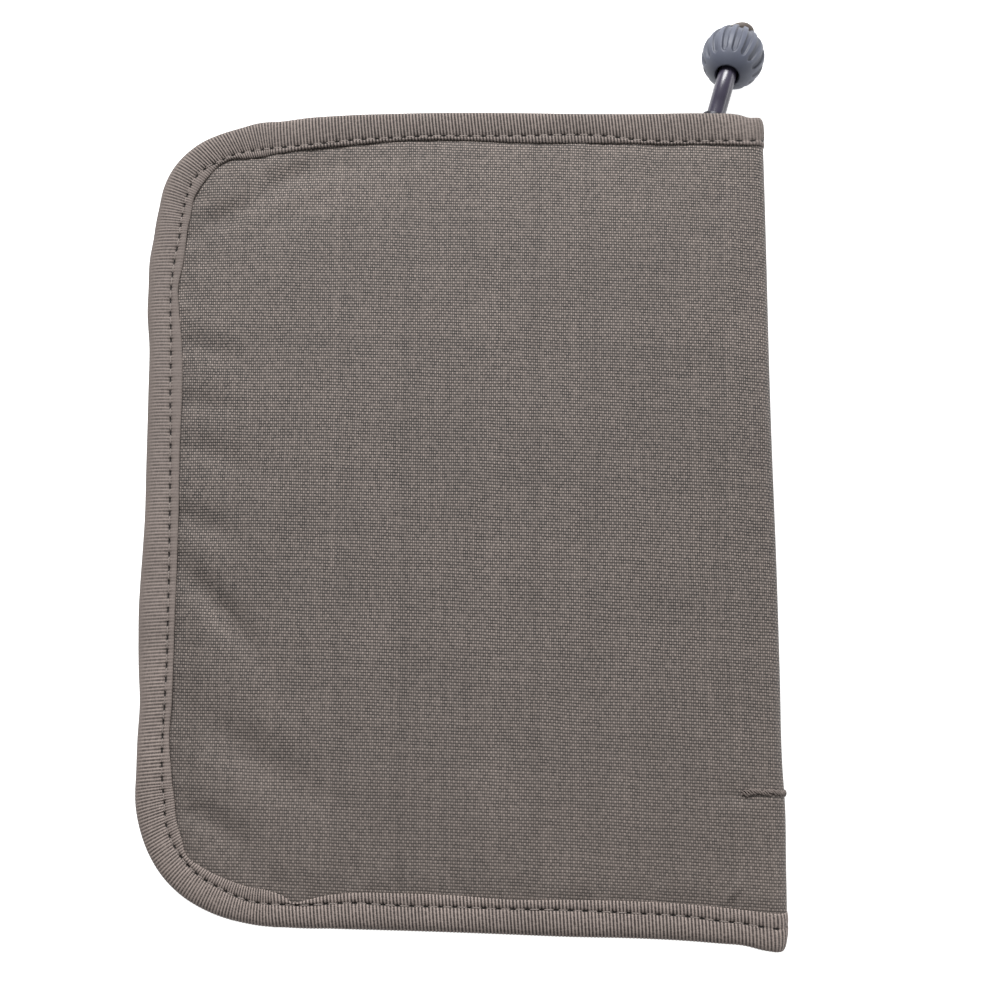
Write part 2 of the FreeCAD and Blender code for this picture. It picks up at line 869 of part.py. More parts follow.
def check(pieces):
    """Stops if anything in the document failed, or a piece has no valid solid."""
    for item in doc.Objects:
        if "Invalid" in item.State or "Error" in item.State:
            raise RuntimeError(f"{item.Label} failed: {item.State}")
    for piece in pieces:
        if piece.Shape.isNull() or not piece.Shape.isValid() or not piece.Shape.Solids:
            raise RuntimeError(f"{piece.Label} has no valid solid")


def export(pieces):
    os.makedirs("parts", exist_ok=True)
    for piece in pieces:
        piece.Shape.exportStep(f"parts/{piece.Label}.step")


parts = make_back_cover() + make_front_cover() + make_spine() + make_zip_slider() + make_zip_pull()
doc.recompute()
check(parts)
export(parts)
print(f"{len(parts)} pieces")
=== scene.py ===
import math

import bpy
import numpy as np
from mathutils import Matrix, Vector


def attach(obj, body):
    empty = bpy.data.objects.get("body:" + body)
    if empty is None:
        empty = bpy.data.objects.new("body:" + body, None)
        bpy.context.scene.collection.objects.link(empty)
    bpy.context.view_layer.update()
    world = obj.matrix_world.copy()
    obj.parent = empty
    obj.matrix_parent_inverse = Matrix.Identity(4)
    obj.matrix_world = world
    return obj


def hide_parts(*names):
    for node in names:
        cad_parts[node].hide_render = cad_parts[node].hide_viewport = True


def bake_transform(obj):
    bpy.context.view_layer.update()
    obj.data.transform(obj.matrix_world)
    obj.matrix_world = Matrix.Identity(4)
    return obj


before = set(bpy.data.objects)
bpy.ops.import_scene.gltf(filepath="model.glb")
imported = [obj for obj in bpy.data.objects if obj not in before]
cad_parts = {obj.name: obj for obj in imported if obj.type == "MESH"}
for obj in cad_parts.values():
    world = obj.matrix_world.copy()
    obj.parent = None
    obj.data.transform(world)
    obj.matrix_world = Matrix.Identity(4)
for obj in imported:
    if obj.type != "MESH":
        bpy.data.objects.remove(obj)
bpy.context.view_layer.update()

# Shapes are worked out in millimetres, in the frame of the CAD, and scaled by MM when a mesh is made.
MM = 0.001
TURN = 2 * math.pi

# The closed wallet: its outline, its thickness, and the rounded folds of its spine.
LEFT, RIGHT = -67.0, 67.0
TOP, BOTTOM = 88.0, -88.0
THICKNESS = 18.0
MIDDLE_Z = THICKNESS / 2
TOP_CORNER, BOTTOM_CORNER = 26.0, 30.0
FOLD_RADIUS = 2.6

# The centres of the left side's round corners, and of the fold between the front cover and the spine.
TOP_X, TOP_Y = LEFT + TOP_CORNER, TOP - TOP_CORNER
BOTTOM_X, BOTTOM_Y = LEFT + BOTTOM_CORNER, BOTTOM + BOTTOM_CORNER
FOLD_X, FOLD_Z = RIGHT - FOLD_RADIUS, THICKNESS - FOLD_RADIUS

# The edge's path runs from the middle of the spine at the top, round the three open sides, to the
# middle of the spine at the bottom. Each row is a distance along it, then how far inside the plain
# outline the tape's outer edge, its seam and its inner edge lie there.
EDGE_SHAPE = [
    (0, 0.3, 5.6, 7.2), (8, 1.2, 6.6, 7.8), (11, 1.5, 7.1, 8.0), (13, 0.8, 7.0, 7.9),
    (20, 0.1, 6.9, 7.6), (30, 0.0, 6.8, 7.5), (36, 0.0, 6.3, 7.2), (42, -0.1, 5.4, 7.0),
    (50, -0.3, 4.9, 6.8), (60, -0.6, 5.0, 6.6), (70, -0.9, 4.9, 6.0), (80, -1.0, 4.7, 5.6),
    (90, -1.0, 5.0, 5.8), (100, -0.8, 5.5, 6.6), (108, -0.4, 6.3, 7.2), (115, 0.4, 6.9, 8.2),
    (119, 0.4, 7.1, 8.7), (125, 0.6, 6.7, 8.2), (129, 0.1, 6.2, 7.0), (133, -0.6, 5.8, 6.5),
    (136, -0.9, 5.1, 6.7), (142, -1.0, 4.7, 6.9), (146, -0.7, 5.2, 6.9), (151, -0.1, 5.6, 7.5),
    (157, -0.3, 5.6, 7.2), (163, -1.1, 4.7, 6.7), (170, -1.1, 4.1, 5.7), (175, -1.1, 4.2, 6.1),
    (183, -0.4, 4.6, 7.0), (192, -0.2, 4.8, 7.4), (205, -0.1, 5.3, 7.3), (220, 0.1, 5.7, 7.6),
    (240, -0.4, 6.1, 7.6), (252, 0.0, 6.2, 7.6), (260, 0.6, 6.1, 7.6), (267, 0.4, 5.9, 7.3),
    (275, 0.4, 6.1, 8.1), (281, 0.2, 6.5, 8.6), (288, 0.1, 5.8, 8.1), (293, 0.0, 5.6, 7.6),
    (297, 0.0, 5.6, 6.7), (302, 0.2, 5.7, 7.4), (310, 0.8, 6.1, 8.3), (318, 1.2, 5.8, 8.5),
    (323, 1.1, 5.7, 8.3), (326, 1.0, 5.6, 7.3), (328, 0.9, 5.5, 6.1), (331, 0.8, 5.5, 6.6),
    (335, 0.8, 5.8, 7.5), (340, 0.7, 6.0, 8.0), (350, 0.5, 5.5, 8.0), (362, 0.2, 5.3, 7.6),
    (372, -0.1, 5.0, 6.9), (385, -0.5, 4.8, 6.9), (398, -0.7, 4.3, 6.7), (408, -1.1, 3.8, 6.2),
    (415, -1.6, 2.9, 5.6), (420, -2.0, 2.4, 5.1), (424, -2.9, 1.7, 4.6), (427, -3.2, 1.4, 4.4),
    (432, -2.5, 2.5, 5.0), (436, -1.5, 3.5, 5.5),
]

# Threads and tapes.
RIB_PITCH = 0.72
RIB_HEIGHT = 0.05
STITCH_PITCH = 2.95
HOLE_SHARE = 0.36
WEAVE_PITCH = (0.472, 0.628)

# The pull's cord, its ball and the knot that holds it: places are along the pull from its pivot.
PULL_PIVOT = (54.9, 82.65, 9.0)
PULL_ANGLE = math.radians(73.5)
CORD_ROUTE = [(4.4, 9.0), (9.6, 9.0), (14.5, 10.5), (19.2, 9.9), (24.4, 6.7), (30.8, 3.5)]
CORD_RADIUS = 2.1
BALL_REACH = 23.62
BALL_HEIGHT = 7.3
BALL_RADIUS = 7.1
BALL_TILT = math.radians(28)
BALL_GROOVES = 16
GROOVE_DEPTH = 0.55
BALL_STRETCH = 1.05
BALL_BORE = 2.5
BALL_MOUTH = 2.9


# ---- meshes


def link(obj):
    bpy.context.scene.collection.objects.link(obj)
    return obj


def add_mesh(name, points, faces, material, maps=None):
    """A smooth mesh from points in millimetres; maps gives two numbers for each point."""
    mesh = bpy.data.meshes.new(name)
    mesh.from_pydata((np.asarray(points, float) * MM).tolist(), [], faces)
    corner_points = np.empty(len(mesh.loops), int)
    mesh.loops.foreach_get("vertex_index", corner_points)
    for map_name, values in (maps or {}).items():
        layer = mesh.uv_layers.new(name=map_name)
        layer.data.foreach_set("uv", np.asarray(values, float)[corner_points].ravel())
    mesh.polygons.foreach_set("use_smooth", [True] * len(mesh.polygons))
    mesh.materials.append(material)
    return link(bpy.data.objects.new(name, mesh))


def unit(vectors):
    """The same directions, with length 1."""
    return vectors / np.linalg.norm(vectors, axis=-1, keepdims=True)


def lengths_along(path):
    """Each point's distance along a path from its first point."""
    return np.cumsum(np.linalg.norm(np.diff(path, axis=0, prepend=path[:1]), axis=1))


def joined(x, y, z):
    """Points from coordinates that broadcast to one shape."""
    return np.stack(np.broadcast_arrays(x, y, z), -1)


def map_of(x, y):
    """A map's two numbers for each point, from arrays that broadcast to one shape."""
    return np.stack(np.broadcast_arrays(x, y), -1).reshape(-1, 2)


def cloth_map(x, y):
    """The weave's map for a closed sheet: the same places on its face and on its back."""
    return {"Weave": np.concatenate([map_of(x, y)] * 2)}


def moved(points, place):
    """Points turned and shifted by a matrix."""
    return points @ np.array(place.to_3x3()).T + np.array(place.translation)


def grid_faces(rows, columns, start=0, flip=False):
    """Quads over a grid of points stored row by row."""
    first = start + np.arange(rows - 1)[:, None] * columns + np.arange(columns - 1)[None, :]
    quads = np.stack([first, first + 1, first + columns + 1, first + columns], -1).reshape(-1, 4)
    return (quads[:, ::-1] if flip else quads).tolist()


def ring_faces(rings, around, start=0):
    """Quads along a closed section swept through rings, with a cap at each end."""
    here = np.arange(around)
    there = (here + 1) % around
    base = start + np.arange(rings - 1)[:, None] * around
    quads = np.stack([base + here, base + there, base + around + there, base + around + here], -1)
    last = start + (rings - 1) * around
    return quads.reshape(-1, 4).tolist() + [(start + here[::-1]).tolist(), (last + here).tolist()]


def loop_faces(rings, around):
    """Quads round a closed section swept round a closed loop."""
    here = np.arange(around)
    there = (here + 1) % around
    base = np.arange(rings)[:, None] * around
    following = (base + around) % (rings * around)
    quads = np.stack([base + here, base + there, following + there, following + here], -1)
    return quads.reshape(-1, 4).tolist()


def tube(path, side, radius, around, start=0):
    """Rings of points round a path, and their faces; side is a direction across the path."""
    tangent = unit(np.gradient(path, axis=0))
    side = unit(side - tangent * (side * tangent).sum(1, keepdims=True))
    other = np.cross(tangent, side)
    angles = np.linspace(0, TURN, around, endpoint=False)[None, :, None]
    spread = np.broadcast_to(radius, len(path))[:, None, None]
    rings = path[:, None] + spread * (side[:, None] * np.cos(angles) + other[:, None] * np.sin(angles))
    return rings.reshape(-1, 3), ring_faces(len(path), around, start)


def turned_over(points, faces):
    """The same shape on the back cover: mirrored in the wallet's middle plane."""
    mirrored = np.array(points, float)
    mirrored[:, 2] = THICKNESS - mirrored[:, 2]
    return mirrored, [face[::-1] for face in faces]


def through(knots, x):
    """A smooth curve through (x, y) knots."""
    xs, ys = np.array(knots, float).T
    slopes = np.gradient(ys, xs)
    i = np.clip(np.searchsorted(xs, x) - 1, 0, len(xs) - 2)
    width = xs[i + 1] - xs[i]
    t = np.clip((x - xs[i]) / width, 0, 1)
    return (
        ys[i] * (1 + 2 * t) * (1 - t) ** 2
        + slopes[i] * width * t * (1 - t) ** 2
        + ys[i + 1] * t * t * (3 - 2 * t)
        + slopes[i + 1] * width * t * t * (t - 1)
    )


def bell(x, middle, width):
    return np.exp(-(((x - middle) / width) ** 2))


def ease(x, start, end):
    t = np.clip((x - start) / (end - start), 0, 1)
    return t * t * (3 - 2 * t)


def waves(seed, *coordinates, longest=30.0, count=6):
    """Gentle unevenness, about -1 to 1: a few sine waves of seeded lengths and directions."""
    rng = np.random.default_rng(seed)
    total = 0.0
    for _ in range(count):
        lengths = rng.uniform(0.4, 1.0, len(coordinates)) * longest * rng.choice([-1, 1], len(coordinates))
        phase = rng.uniform(0, TURN)
        total = total + np.sin(sum(c / w * TURN for c, w in zip(coordinates, lengths)) + phase)
    return total / count * 1.6


# ---- the edge's path


def edge_track(step=0.05):
    """Distances along the edge's path, and its points, outward directions and face normals."""
    rows = []

    def spine(y, outward, heights):
        rows.extend(((RIGHT, y, z), (0, outward, 0), (1, 0, 0)) for z in heights)

    def fold(y, outward, angles):
        for a in angles:
            c, s = math.cos(a), math.sin(a)
            place = (FOLD_X + FOLD_RADIUS * c, y, FOLD_Z + FOLD_RADIUS * s)
            rows.append((place, (0, outward, 0), (c, 0, s)))

    def corner(x, y, radius, start):
        for a in np.arange(start, start + math.pi / 2, step / radius):
            c, s = math.cos(a), math.sin(a)
            rows.append(((x + radius * c, y + radius * s, THICKNESS), (c, s, 0), (0, 0, 1)))

    def straight(start, end, outward):
        count = int(math.dist(start, end) / step)
        for t in np.arange(count) / count:
            x, y = start[0] + (end[0] - start[0]) * t, start[1] + (end[1] - start[1]) * t
            rows.append(((x, y, THICKNESS), outward, (0, 0, 1)))

    quarter = math.pi / 2
    spine(TOP, 1, np.arange(MIDDLE_Z, FOLD_Z, step))
    fold(TOP, 1, np.arange(0, quarter, step / FOLD_RADIUS))
    straight((FOLD_X, TOP), (TOP_X, TOP), (0, 1, 0))
    corner(TOP_X, TOP_Y, TOP_CORNER, quarter)
    straight((LEFT, TOP_Y), (LEFT, BOTTOM_Y), (-1, 0, 0))
    corner(BOTTOM_X, BOTTOM_Y, BOTTOM_CORNER, 2 * quarter)
    straight((BOTTOM_X, BOTTOM), (FOLD_X, BOTTOM), (0, -1, 0))
    fold(BOTTOM, -1, np.arange(quarter, 0, -step / FOLD_RADIUS))
    spine(BOTTOM, -1, np.arange(FOLD_Z, MIDDLE_Z - step / 2, -step))
    table = np.array(rows, float).reshape(len(rows), 9)
    return lengths_along(table[:, :3]), table


TRACK_S, TRACK = edge_track()
TRACK_LENGTH = TRACK_S[-1]
FOLD_END = MIDDLE_Z - FOLD_RADIUS + FOLD_RADIUS * math.pi / 2


def on_track(s):
    """Points, outward directions and face normals at distances s along the edge's path."""
    values = np.stack([np.interp(s, TRACK_S, TRACK[:, k]) for k in range(9)], -1)
    return values[..., :3], values[..., 3:6], values[..., 6:9]


def edge_lines(s, back):
    """How far in the tape's outer edge, its seam and its inner edge lie, on either cover."""
    lines = [through([(row[0], row[k]) for row in EDGE_SHAPE], s) for k in (1, 2, 3)]
    if back:
        sway = 0.35 * waves(31, s, longest=60)
        return [0.5 * lines[0] + sway, 0.5 * lines[1] + 2.7 + sway, 0.5 * lines[2] + 3.6 + 0.7 * sway]
    return lines


def on_cover(s):
    """1 on a cover, easing to 0 where the path turns down the spine."""
    far = TRACK_LENGTH - FOLD_END
    return ease(s, FOLD_END - 1, FOLD_END + 8) * (1 - ease(s, far - 8, far + 1))


# ---- materials


class Graph:
    """A material's nodes, with short ways to add to them."""

    def __init__(self, name, **constants):
        self.material = bpy.data.materials.new(name)
        self.material.use_nodes = True
        self.tree = self.material.node_tree
        self.tree.nodes.clear()
        self.shader = self.node("ShaderNodeBsdfPrincipled")
        output = self.node("ShaderNodeOutputMaterial")
        self.tree.links.new(self.shader.outputs["BSDF"], output.inputs["Surface"])
        for socket, value in constants.items():
            self.shader.inputs[socket.replace("_", " ")].default_value = value

    def node(self, kind, **settings):
        node = self.tree.nodes.new(kind)
        for key, value in settings.items():
            setattr(node, key, value)
        return node

    def feed(self, socket, value):
        if isinstance(value, bpy.types.NodeSocket):
            self.tree.links.new(value, socket)
        else:
            socket.default_value = value

    def math(self, operation, *values):
        node = self.node("ShaderNodeMath", operation=operation)
        for socket, value in zip(node.inputs, values):
            self.feed(socket, value)
        return node.outputs[0]

    def times(self, first, second):
        return self.math("MULTIPLY", first, second)

    def line(self, value, slope, start):
        """value * slope + start."""
        return self.math("MULTIPLY_ADD", value, slope, start)

    def scaled(self, value, low, high, to_low=0.0, to_high=1.0):
        node = self.node("ShaderNodeMapRange", interpolation_type="SMOOTHSTEP")
        for socket, number in zip(node.inputs, (value, low, high, to_low, to_high)):
            self.feed(socket, number)
        return node.outputs[0]

    def mix(self, factor, first, second, how="MIX"):
        node = self.node("ShaderNodeMix", data_type="RGBA", blend_type=how)
        self.feed(node.inputs["Factor"], factor)
        self.feed(node.inputs[6], first)
        self.feed(node.inputs[7], second)
        return node.outputs[2]

    def pair(self, map_name):
        node = self.node("ShaderNodeUVMap", uv_map=map_name)
        split = self.node("ShaderNodeSeparateXYZ")
        self.feed(split.inputs[0], node.outputs[0])
        return split.outputs[0], split.outputs[1]

    def vector(self, x, y, z=0.0):
        node = self.node("ShaderNodeCombineXYZ")
        for socket, value in zip(node.inputs, (x, y, z)):
            self.feed(socket, value)
        return node.outputs[0]

    def place(self):
        """The point on the object, in millimetres."""
        node = self.node("ShaderNodeVectorMath", operation="SCALE")
        self.feed(node.inputs[0], self.node("ShaderNodeTexCoord").outputs["Object"])
        node.inputs["Scale"].default_value = 1 / MM
        return node.outputs[0]

    def noise(self, where, scale, detail=2.0, roughness=0.5):
        node = self.node("ShaderNodeTexNoise")
        self.feed(node.inputs["Vector"], where)
        node.inputs["Scale"].default_value = scale
        node.inputs["Detail"].default_value = detail
        node.inputs["Roughness"].default_value = roughness
        return node.outputs["Fac"]

    def chance(self, where):
        node = self.node("ShaderNodeTexWhiteNoise", noise_dimensions="2D")
        self.feed(node.inputs["Vector"], where)
        return node.outputs["Value"]

    def bump(self, height, distance_mm, strength=1.0):
        node = self.node("ShaderNodeBump")
        node.inputs["Strength"].default_value = strength
        node.inputs["Distance"].default_value = distance_mm * MM
        self.feed(node.inputs["Height"], height)
        self.feed(self.shader.inputs["Normal"], node.outputs[0])

    def colour(self, value, shade=None):
        """The surface's colour, times a shade if there is one."""
        if shade is not None:
            value = self.mix(1.0, value, self.vector(shade, shade, shade), "MULTIPLY")
        self.feed(self.shader.inputs["Base Color"], value)


def rgb(red, green, blue):
    return (red, green, blue, 1.0)


def woven(name, light, painted_shade, pitch, second=0.68, drift=0.4, relief=0.075, even_low_end=0.0, **constants):
    """A plain weave: yarns of two directions pass over each other in turn, with painted shade in the gaps
    between them.

    second is how light the crossing yarns are beside the first; the share for the lower end weakens the
    painted shade between the yarns towards the cloth's lower end.
    """
    g = Graph(name, Roughness=0.8, **constants)
    x, y = g.pair("Weave")
    flat = g.vector(x, y)
    shift_x = g.line(g.noise(flat, 0.06), drift * 2, -drift)
    shift_y = g.line(g.noise(g.vector(y, x, 3.0), 0.06), drift * 2, -drift)
    u = g.math("DIVIDE", g.math("ADD", x, shift_x), pitch[0])
    v = g.math("DIVIDE", g.math("ADD", y, shift_y), pitch[1])
    column, row = g.math("FLOOR", u), g.math("FLOOR", v)
    across = g.math("SUBTRACT", g.math("FRACT", u), 0.5)
    along = g.math("SUBTRACT", g.math("FRACT", v), 0.5)
    odd = g.math("FLOORED_MODULO", g.math("ADD", column, row), 2.0)

    # Painted shade: the yarns' crowns take the light colour and the gaps between them a near-black shade
    # colour.
    row_side = g.math("COSINE", g.times(along, math.pi))
    column_side = g.math("COSINE", g.times(across, math.pi * 0.88))
    crown = g.times(row_side, column_side)
    height = g.times(crown, g.line(odd, -0.2, 1.0))
    yarn = g.math("ADD", g.chance(g.vector(column, 7.0)), g.chance(g.vector(3.0, row)))
    fleck = g.chance(g.vector(column, row))
    # Towards the cloth's lower end the painted shade between the yarns is weakened, in colour only.
    shade_fade = g.scaled(y, -85.0, 30.0, even_low_end, 0.0)
    lit = g.line(shade_fade, g.math("SUBTRACT", 0.62, height), height)
    gap_shade = g.mix(g.times(fleck, 0.25), painted_shade, light)
    crossing = rgb(*(c * second for c in light[:3]))
    tone = g.mix(g.scaled(lit, 0.22, 0.84), gap_shade, g.mix(odd, light, crossing))
    uneven = g.line(g.math("ADD", yarn, g.times(fleck, 0.7)), 0.14, 0.8)
    cloud = g.line(g.noise(flat, 0.035, 3.0), 0.3, 0.85)
    g.colour(tone, g.times(uneven, cloud))
    g.bump(height, relief)
    return g.material


def ribbed(name, light, painted_shade):
    """Grosgrain tape: ribs across it with painted shade in the valleys between them, and the needle's holes
    along its seam painted dark as shade.
    """
    g = Graph(name, Roughness=0.82)
    rib, from_seam = g.pair("Weave")
    stitch, strength = g.pair("Stitch")
    wave = g.math("COSINE", g.times(rib, TURN))
    fine = g.chance(g.vector(g.math("FLOOR", rib), g.math("FLOOR", g.math("DIVIDE", from_seam, 0.16))))
    patchy = g.noise(g.vector(g.times(rib, 0.35), from_seam), 0.8, 2.0)
    wave = g.times(wave, g.line(patchy, 1.2, 0.35))
    ridge = g.line(g.math("SUBTRACT", fine, 0.5), 0.7, wave)
    softened = g.times(ridge, strength)
    # Painted shade: the ribs' crests take the light colour and their valleys the shade colour.
    tone = g.mix(g.scaled(softened, -0.95, 0.95), painted_shade, light)
    # Painted shade: the needle's holes along the seam are coloured near black.
    thread = g.math("FRACT", stitch)
    from_hole = g.math("ABSOLUTE", g.math("SUBTRACT", thread, 0.5))
    hole_end = g.scaled(from_hole, HOLE_SHARE / 2, HOLE_SHARE / 2 + 0.06, 1.0, 0.0)
    hole_side = g.scaled(g.math("ABSOLUTE", from_seam), 0.14, 0.34, 1.0, 0.0)
    hole = g.times(hole_end, hole_side)
    cloud = g.line(g.noise(g.place(), 0.08, 3.0), 0.35, 0.82)
    # Painted light: besides the random mottling, the tape is painted lighter towards the wallet's bottom
    # and darker towards its top, against the fall of the light.
    lengthways = g.node("ShaderNodeSeparateXYZ")
    g.feed(lengthways.inputs[0], g.place())
    cloud = g.times(cloud, g.scaled(lengthways.outputs[1], BOTTOM, TOP, 1.24, 0.86))
    tape_with_painted_light = g.mix(1.0, tone, g.vector(cloud, cloud, cloud), "MULTIPLY")
    # The needle holes get a near-black painted shade.
    g.colour(g.mix(hole, tape_with_painted_light, rgb(0.008, 0.006, 0.005)))
    g.bump(softened, 0.05)
    return g.material


def plain(name, colour, roughness, grain=0.0, grain_scale=2.0, grooved=0.0, **constants):
    """A moulded, painted or bare surface, with a fine grain and a little unevenness.

    grooved is how much painted shade darkens its grooves, where its Groove map says so.
    """
    g = Graph(name, **constants)
    where = g.place()
    cloud = g.line(g.noise(where, 0.25, 3.0), 0.3, 0.85)
    # Painted shade darkens the surface in its grooves, by the Groove map.
    if grooved:
        groove_shade_share = g.pair("Groove")[0]
        cloud = g.times(cloud, g.line(groove_shade_share, -grooved, 1.0))
    g.colour(colour, cloud)
    rough = g.line(g.noise(where, 0.8, 3.0), 0.16, roughness - 0.08)
    g.feed(g.shader.inputs["Roughness"], rough)
    if grain:
        g.bump(g.noise(where, grain_scale, 4.0), grain)
    return g.material


PANEL = woven(
    "PanelFabric", rgb(0.222, 0.183, 0.163), rgb(0.004, 0.003, 0.0025), WEAVE_PITCH,
    even_low_end=0.5, Sheen_Weight=0.08,
)
LINING = woven("LiningFabric", rgb(0.13, 0.11, 0.1), rgb(0.03, 0.025, 0.022), (0.3, 0.3), second=0.8)
ZIP_TAPE = woven("ZipTape", rgb(0.1, 0.085, 0.08), rgb(0.02, 0.017, 0.016), (0.55, 0.4), second=0.7)
TAPE = ribbed("EdgeBinding", rgb(0.229, 0.187, 0.168), rgb(0.023, 0.018, 0.016))
THREAD = plain("Thread", rgb(0.17, 0.143, 0.13), 0.75, 0.02, 6.0)
FOAM = plain("Foam", rgb(0.45, 0.44, 0.42), 0.9, 0.05, 4.0)
COIL = plain("ZipCoil", rgb(0.045, 0.04, 0.038), 0.4, 0.01, 3.0)
VINYL = plain("ClearVinyl", rgb(0.92, 0.93, 0.95), 0.1, 0.004, 0.3, Transmission_Weight=0.92, IOR=1.45)
BALL = plain("BallPlastic", rgb(0.064, 0.071, 0.099), 0.55, 0.012, 3.0, grooved=0.55)
CORD = plain("CordSheath", rgb(0.032, 0.028, 0.046), 0.3, 0.006, 3.0)
TACK = plain("TackThread", rgb(0.115, 0.093, 0.083), 0.75, 0.03, 6.0)
KNOT = plain("KnotCord", rgb(0.075, 0.06, 0.052), 0.7, 0.05, 3.0)
METAL = plain("SliderMetal", rgb(0.025, 0.025, 0.03), 0.42, 0.01, 3.0, Metallic=0.6)
STEEL = plain("BrightSteel", rgb(0.5, 0.5, 0.52), 0.3, 0.006, 4.0, Metallic=1.0)


# ---- the outer panels


def cover_left(y, inset):
    """Where a row across the cover starts, inside the plain outline by inset."""
    y = np.asarray(y, float)
    x = np.full_like(y, LEFT + inset)
    for centre_y, radius, side in ((TOP_Y, TOP_CORNER, 1), (BOTTOM_Y, BOTTOM_CORNER, -1)):
        past = np.clip(side * (y - centre_y), 0, radius - inset)
        x = np.maximum(x, LEFT + radius - np.sqrt((radius - inset) ** 2 - past**2))
    return x


def edge_place(x, y):
    """A point's distance along the edge's path and its distance in from the plain outline."""
    x, y = np.broadcast_arrays(np.asarray(x, float), np.asarray(y, float))
    s_top = FOLD_END + FOLD_X - TOP_X
    s_left = s_top + TOP_CORNER * math.pi / 2
    s_bottom = s_left + TOP_Y - BOTTOM_Y
    s_end = s_bottom + BOTTOM_CORNER * math.pi / 2
    insets = [TOP - y, x - LEFT, y - BOTTOM]
    places = [FOLD_END + FOLD_X - x, s_left + TOP_Y - y, s_end + x - BOTTOM_X]
    nearest = np.argmin(insets, axis=0)
    s, inset = np.choose(nearest, places), np.choose(nearest, insets)
    for centre, radius, first, side in (
        ((TOP_X, TOP_Y), TOP_CORNER, s_top, 1),
        ((BOTTOM_X, BOTTOM_Y), BOTTOM_CORNER, s_bottom, -1),
    ):
        dx, dy = centre[0] - x, side * (y - centre[1])
        inside = (dx > 0) & (dy > 0)
        turn = np.arctan2(dx, dy) if side > 0 else np.arctan2(dy, dx)
        s = np.where(inside, first + radius * turn, s)
        inset = np.where(inside, radius - np.hypot(dx, dy), inset)
    return s, inset


# Dents and folds of the front panel: x, y, length, width, direction in degrees, depth.
# The first ones lie round the top left corner, and then come those down the left side.
DENTS = [
    (-42, 70.8, 15, 3.2, 33, 0.85), (-32, 75.3, 14, 3.0, 8, 0.7), (-53.3, 59.5, 11, 3.0, 66, 0.6),
    (-36, 66, 14, 3.0, 28, 0.35), (63, -60.4, 5.5, 0.8, 0, 0.5),
    (56.8, -79.6, 2.6, 0.8, 55, -0.6),
    (-53, 35, 7, 2.8, -25, 0.6), (-54, 23, 6, 2.2, -12, 0.5), (-53, 12, 8, 3.0, -18, 0.7),
    (-54, -3, 8, 3.0, -28, 0.8), (-51, -20, 13, 2.8, -50, 1.3), (-57, -46, 3.4, 24, 0, 1.0),
    (-45, -50, 12, 4.5, -38, 0.9), (-50, -66, 10, 3.0, -35, 0.9), (-32, -58, 14, 5.0, -30, 0.6),
    (-53, 65, 6, 3.0, 25, 0.6),
    (-40, -76, 12, 2.4, -22, 0.3),
    (58, -60, 5, 2.5, 0, 0.3), (62, -76, 1.2, 8, 12, 0.12), (60, 72, 9, 4, 50, 0.3),
]


def panel_height(x, y, back):
    """The height of a panel's face above its seat, for the foam, puckers and dents."""
    s, inset = edge_place(x, y)
    inner = edge_lines(s, back)[2]
    inside = inset - inner
    puff = 1 - np.exp(-np.clip(inside + 1.6, 0, None) / 2.6)
    middle = np.clip(1 - (x / 80) ** 2, 0, 1) * np.clip(1 - (y / 100) ** 2, 0, 1)
    slope = 1 - np.exp(-np.clip(inside, 0, None) / 9)
    height = 0.6 * puff + 0.7 * slope + 0.5 * middle * ease(inside, 0, 25)
    height = height + 0.14 * waves(5 + back, x, y, longest=46) * ease(inside, 0, 6)
    pucker = np.cos(TURN * s / STITCH_PITCH) * 0.07 * bell(inside, 0.6, 1.6)
    ripple = 0.16 * waves(11 + back, s, inset * 0.4, longest=13) * bell(inside, 1.5, 4.5)
    height = height + pucker + ripple
    if not back:
        for dent_x, dent_y, length, width, degrees, depth in DENTS:
            c, d = math.cos(math.radians(degrees)), math.sin(math.radians(degrees))
            along = (x - dent_x) * c + (y - dent_y) * d
            across = (y - dent_y) * c - (x - dent_x) * d
            height = height - depth * bell(along, 0, length) * bell(across, 0, width)
    return np.clip(height, -0.5, FLAT_LIFT if back else 2.4)


# The panels' seat and edges, how far the back one may rise before it would pass z = 0, and how far
# the spine bows out along its length; it steps out below the bartack.
SEAT = 17.15
FLAT_LIFT = THICKNESS - SEAT - 0.02
SPINE_SKIN = 66.75
PANEL_INSET = 2.2
PANEL_THICKNESS = 0.35
SPINE_BOW = [
    (-88, 1.3), (-75, 1.35), (-62, 1.45), (-54, 1.1), (-35, 1.05), (-15, 0.95), (20, 0.5), (60, 0.4),
    (88, 0.3),
]


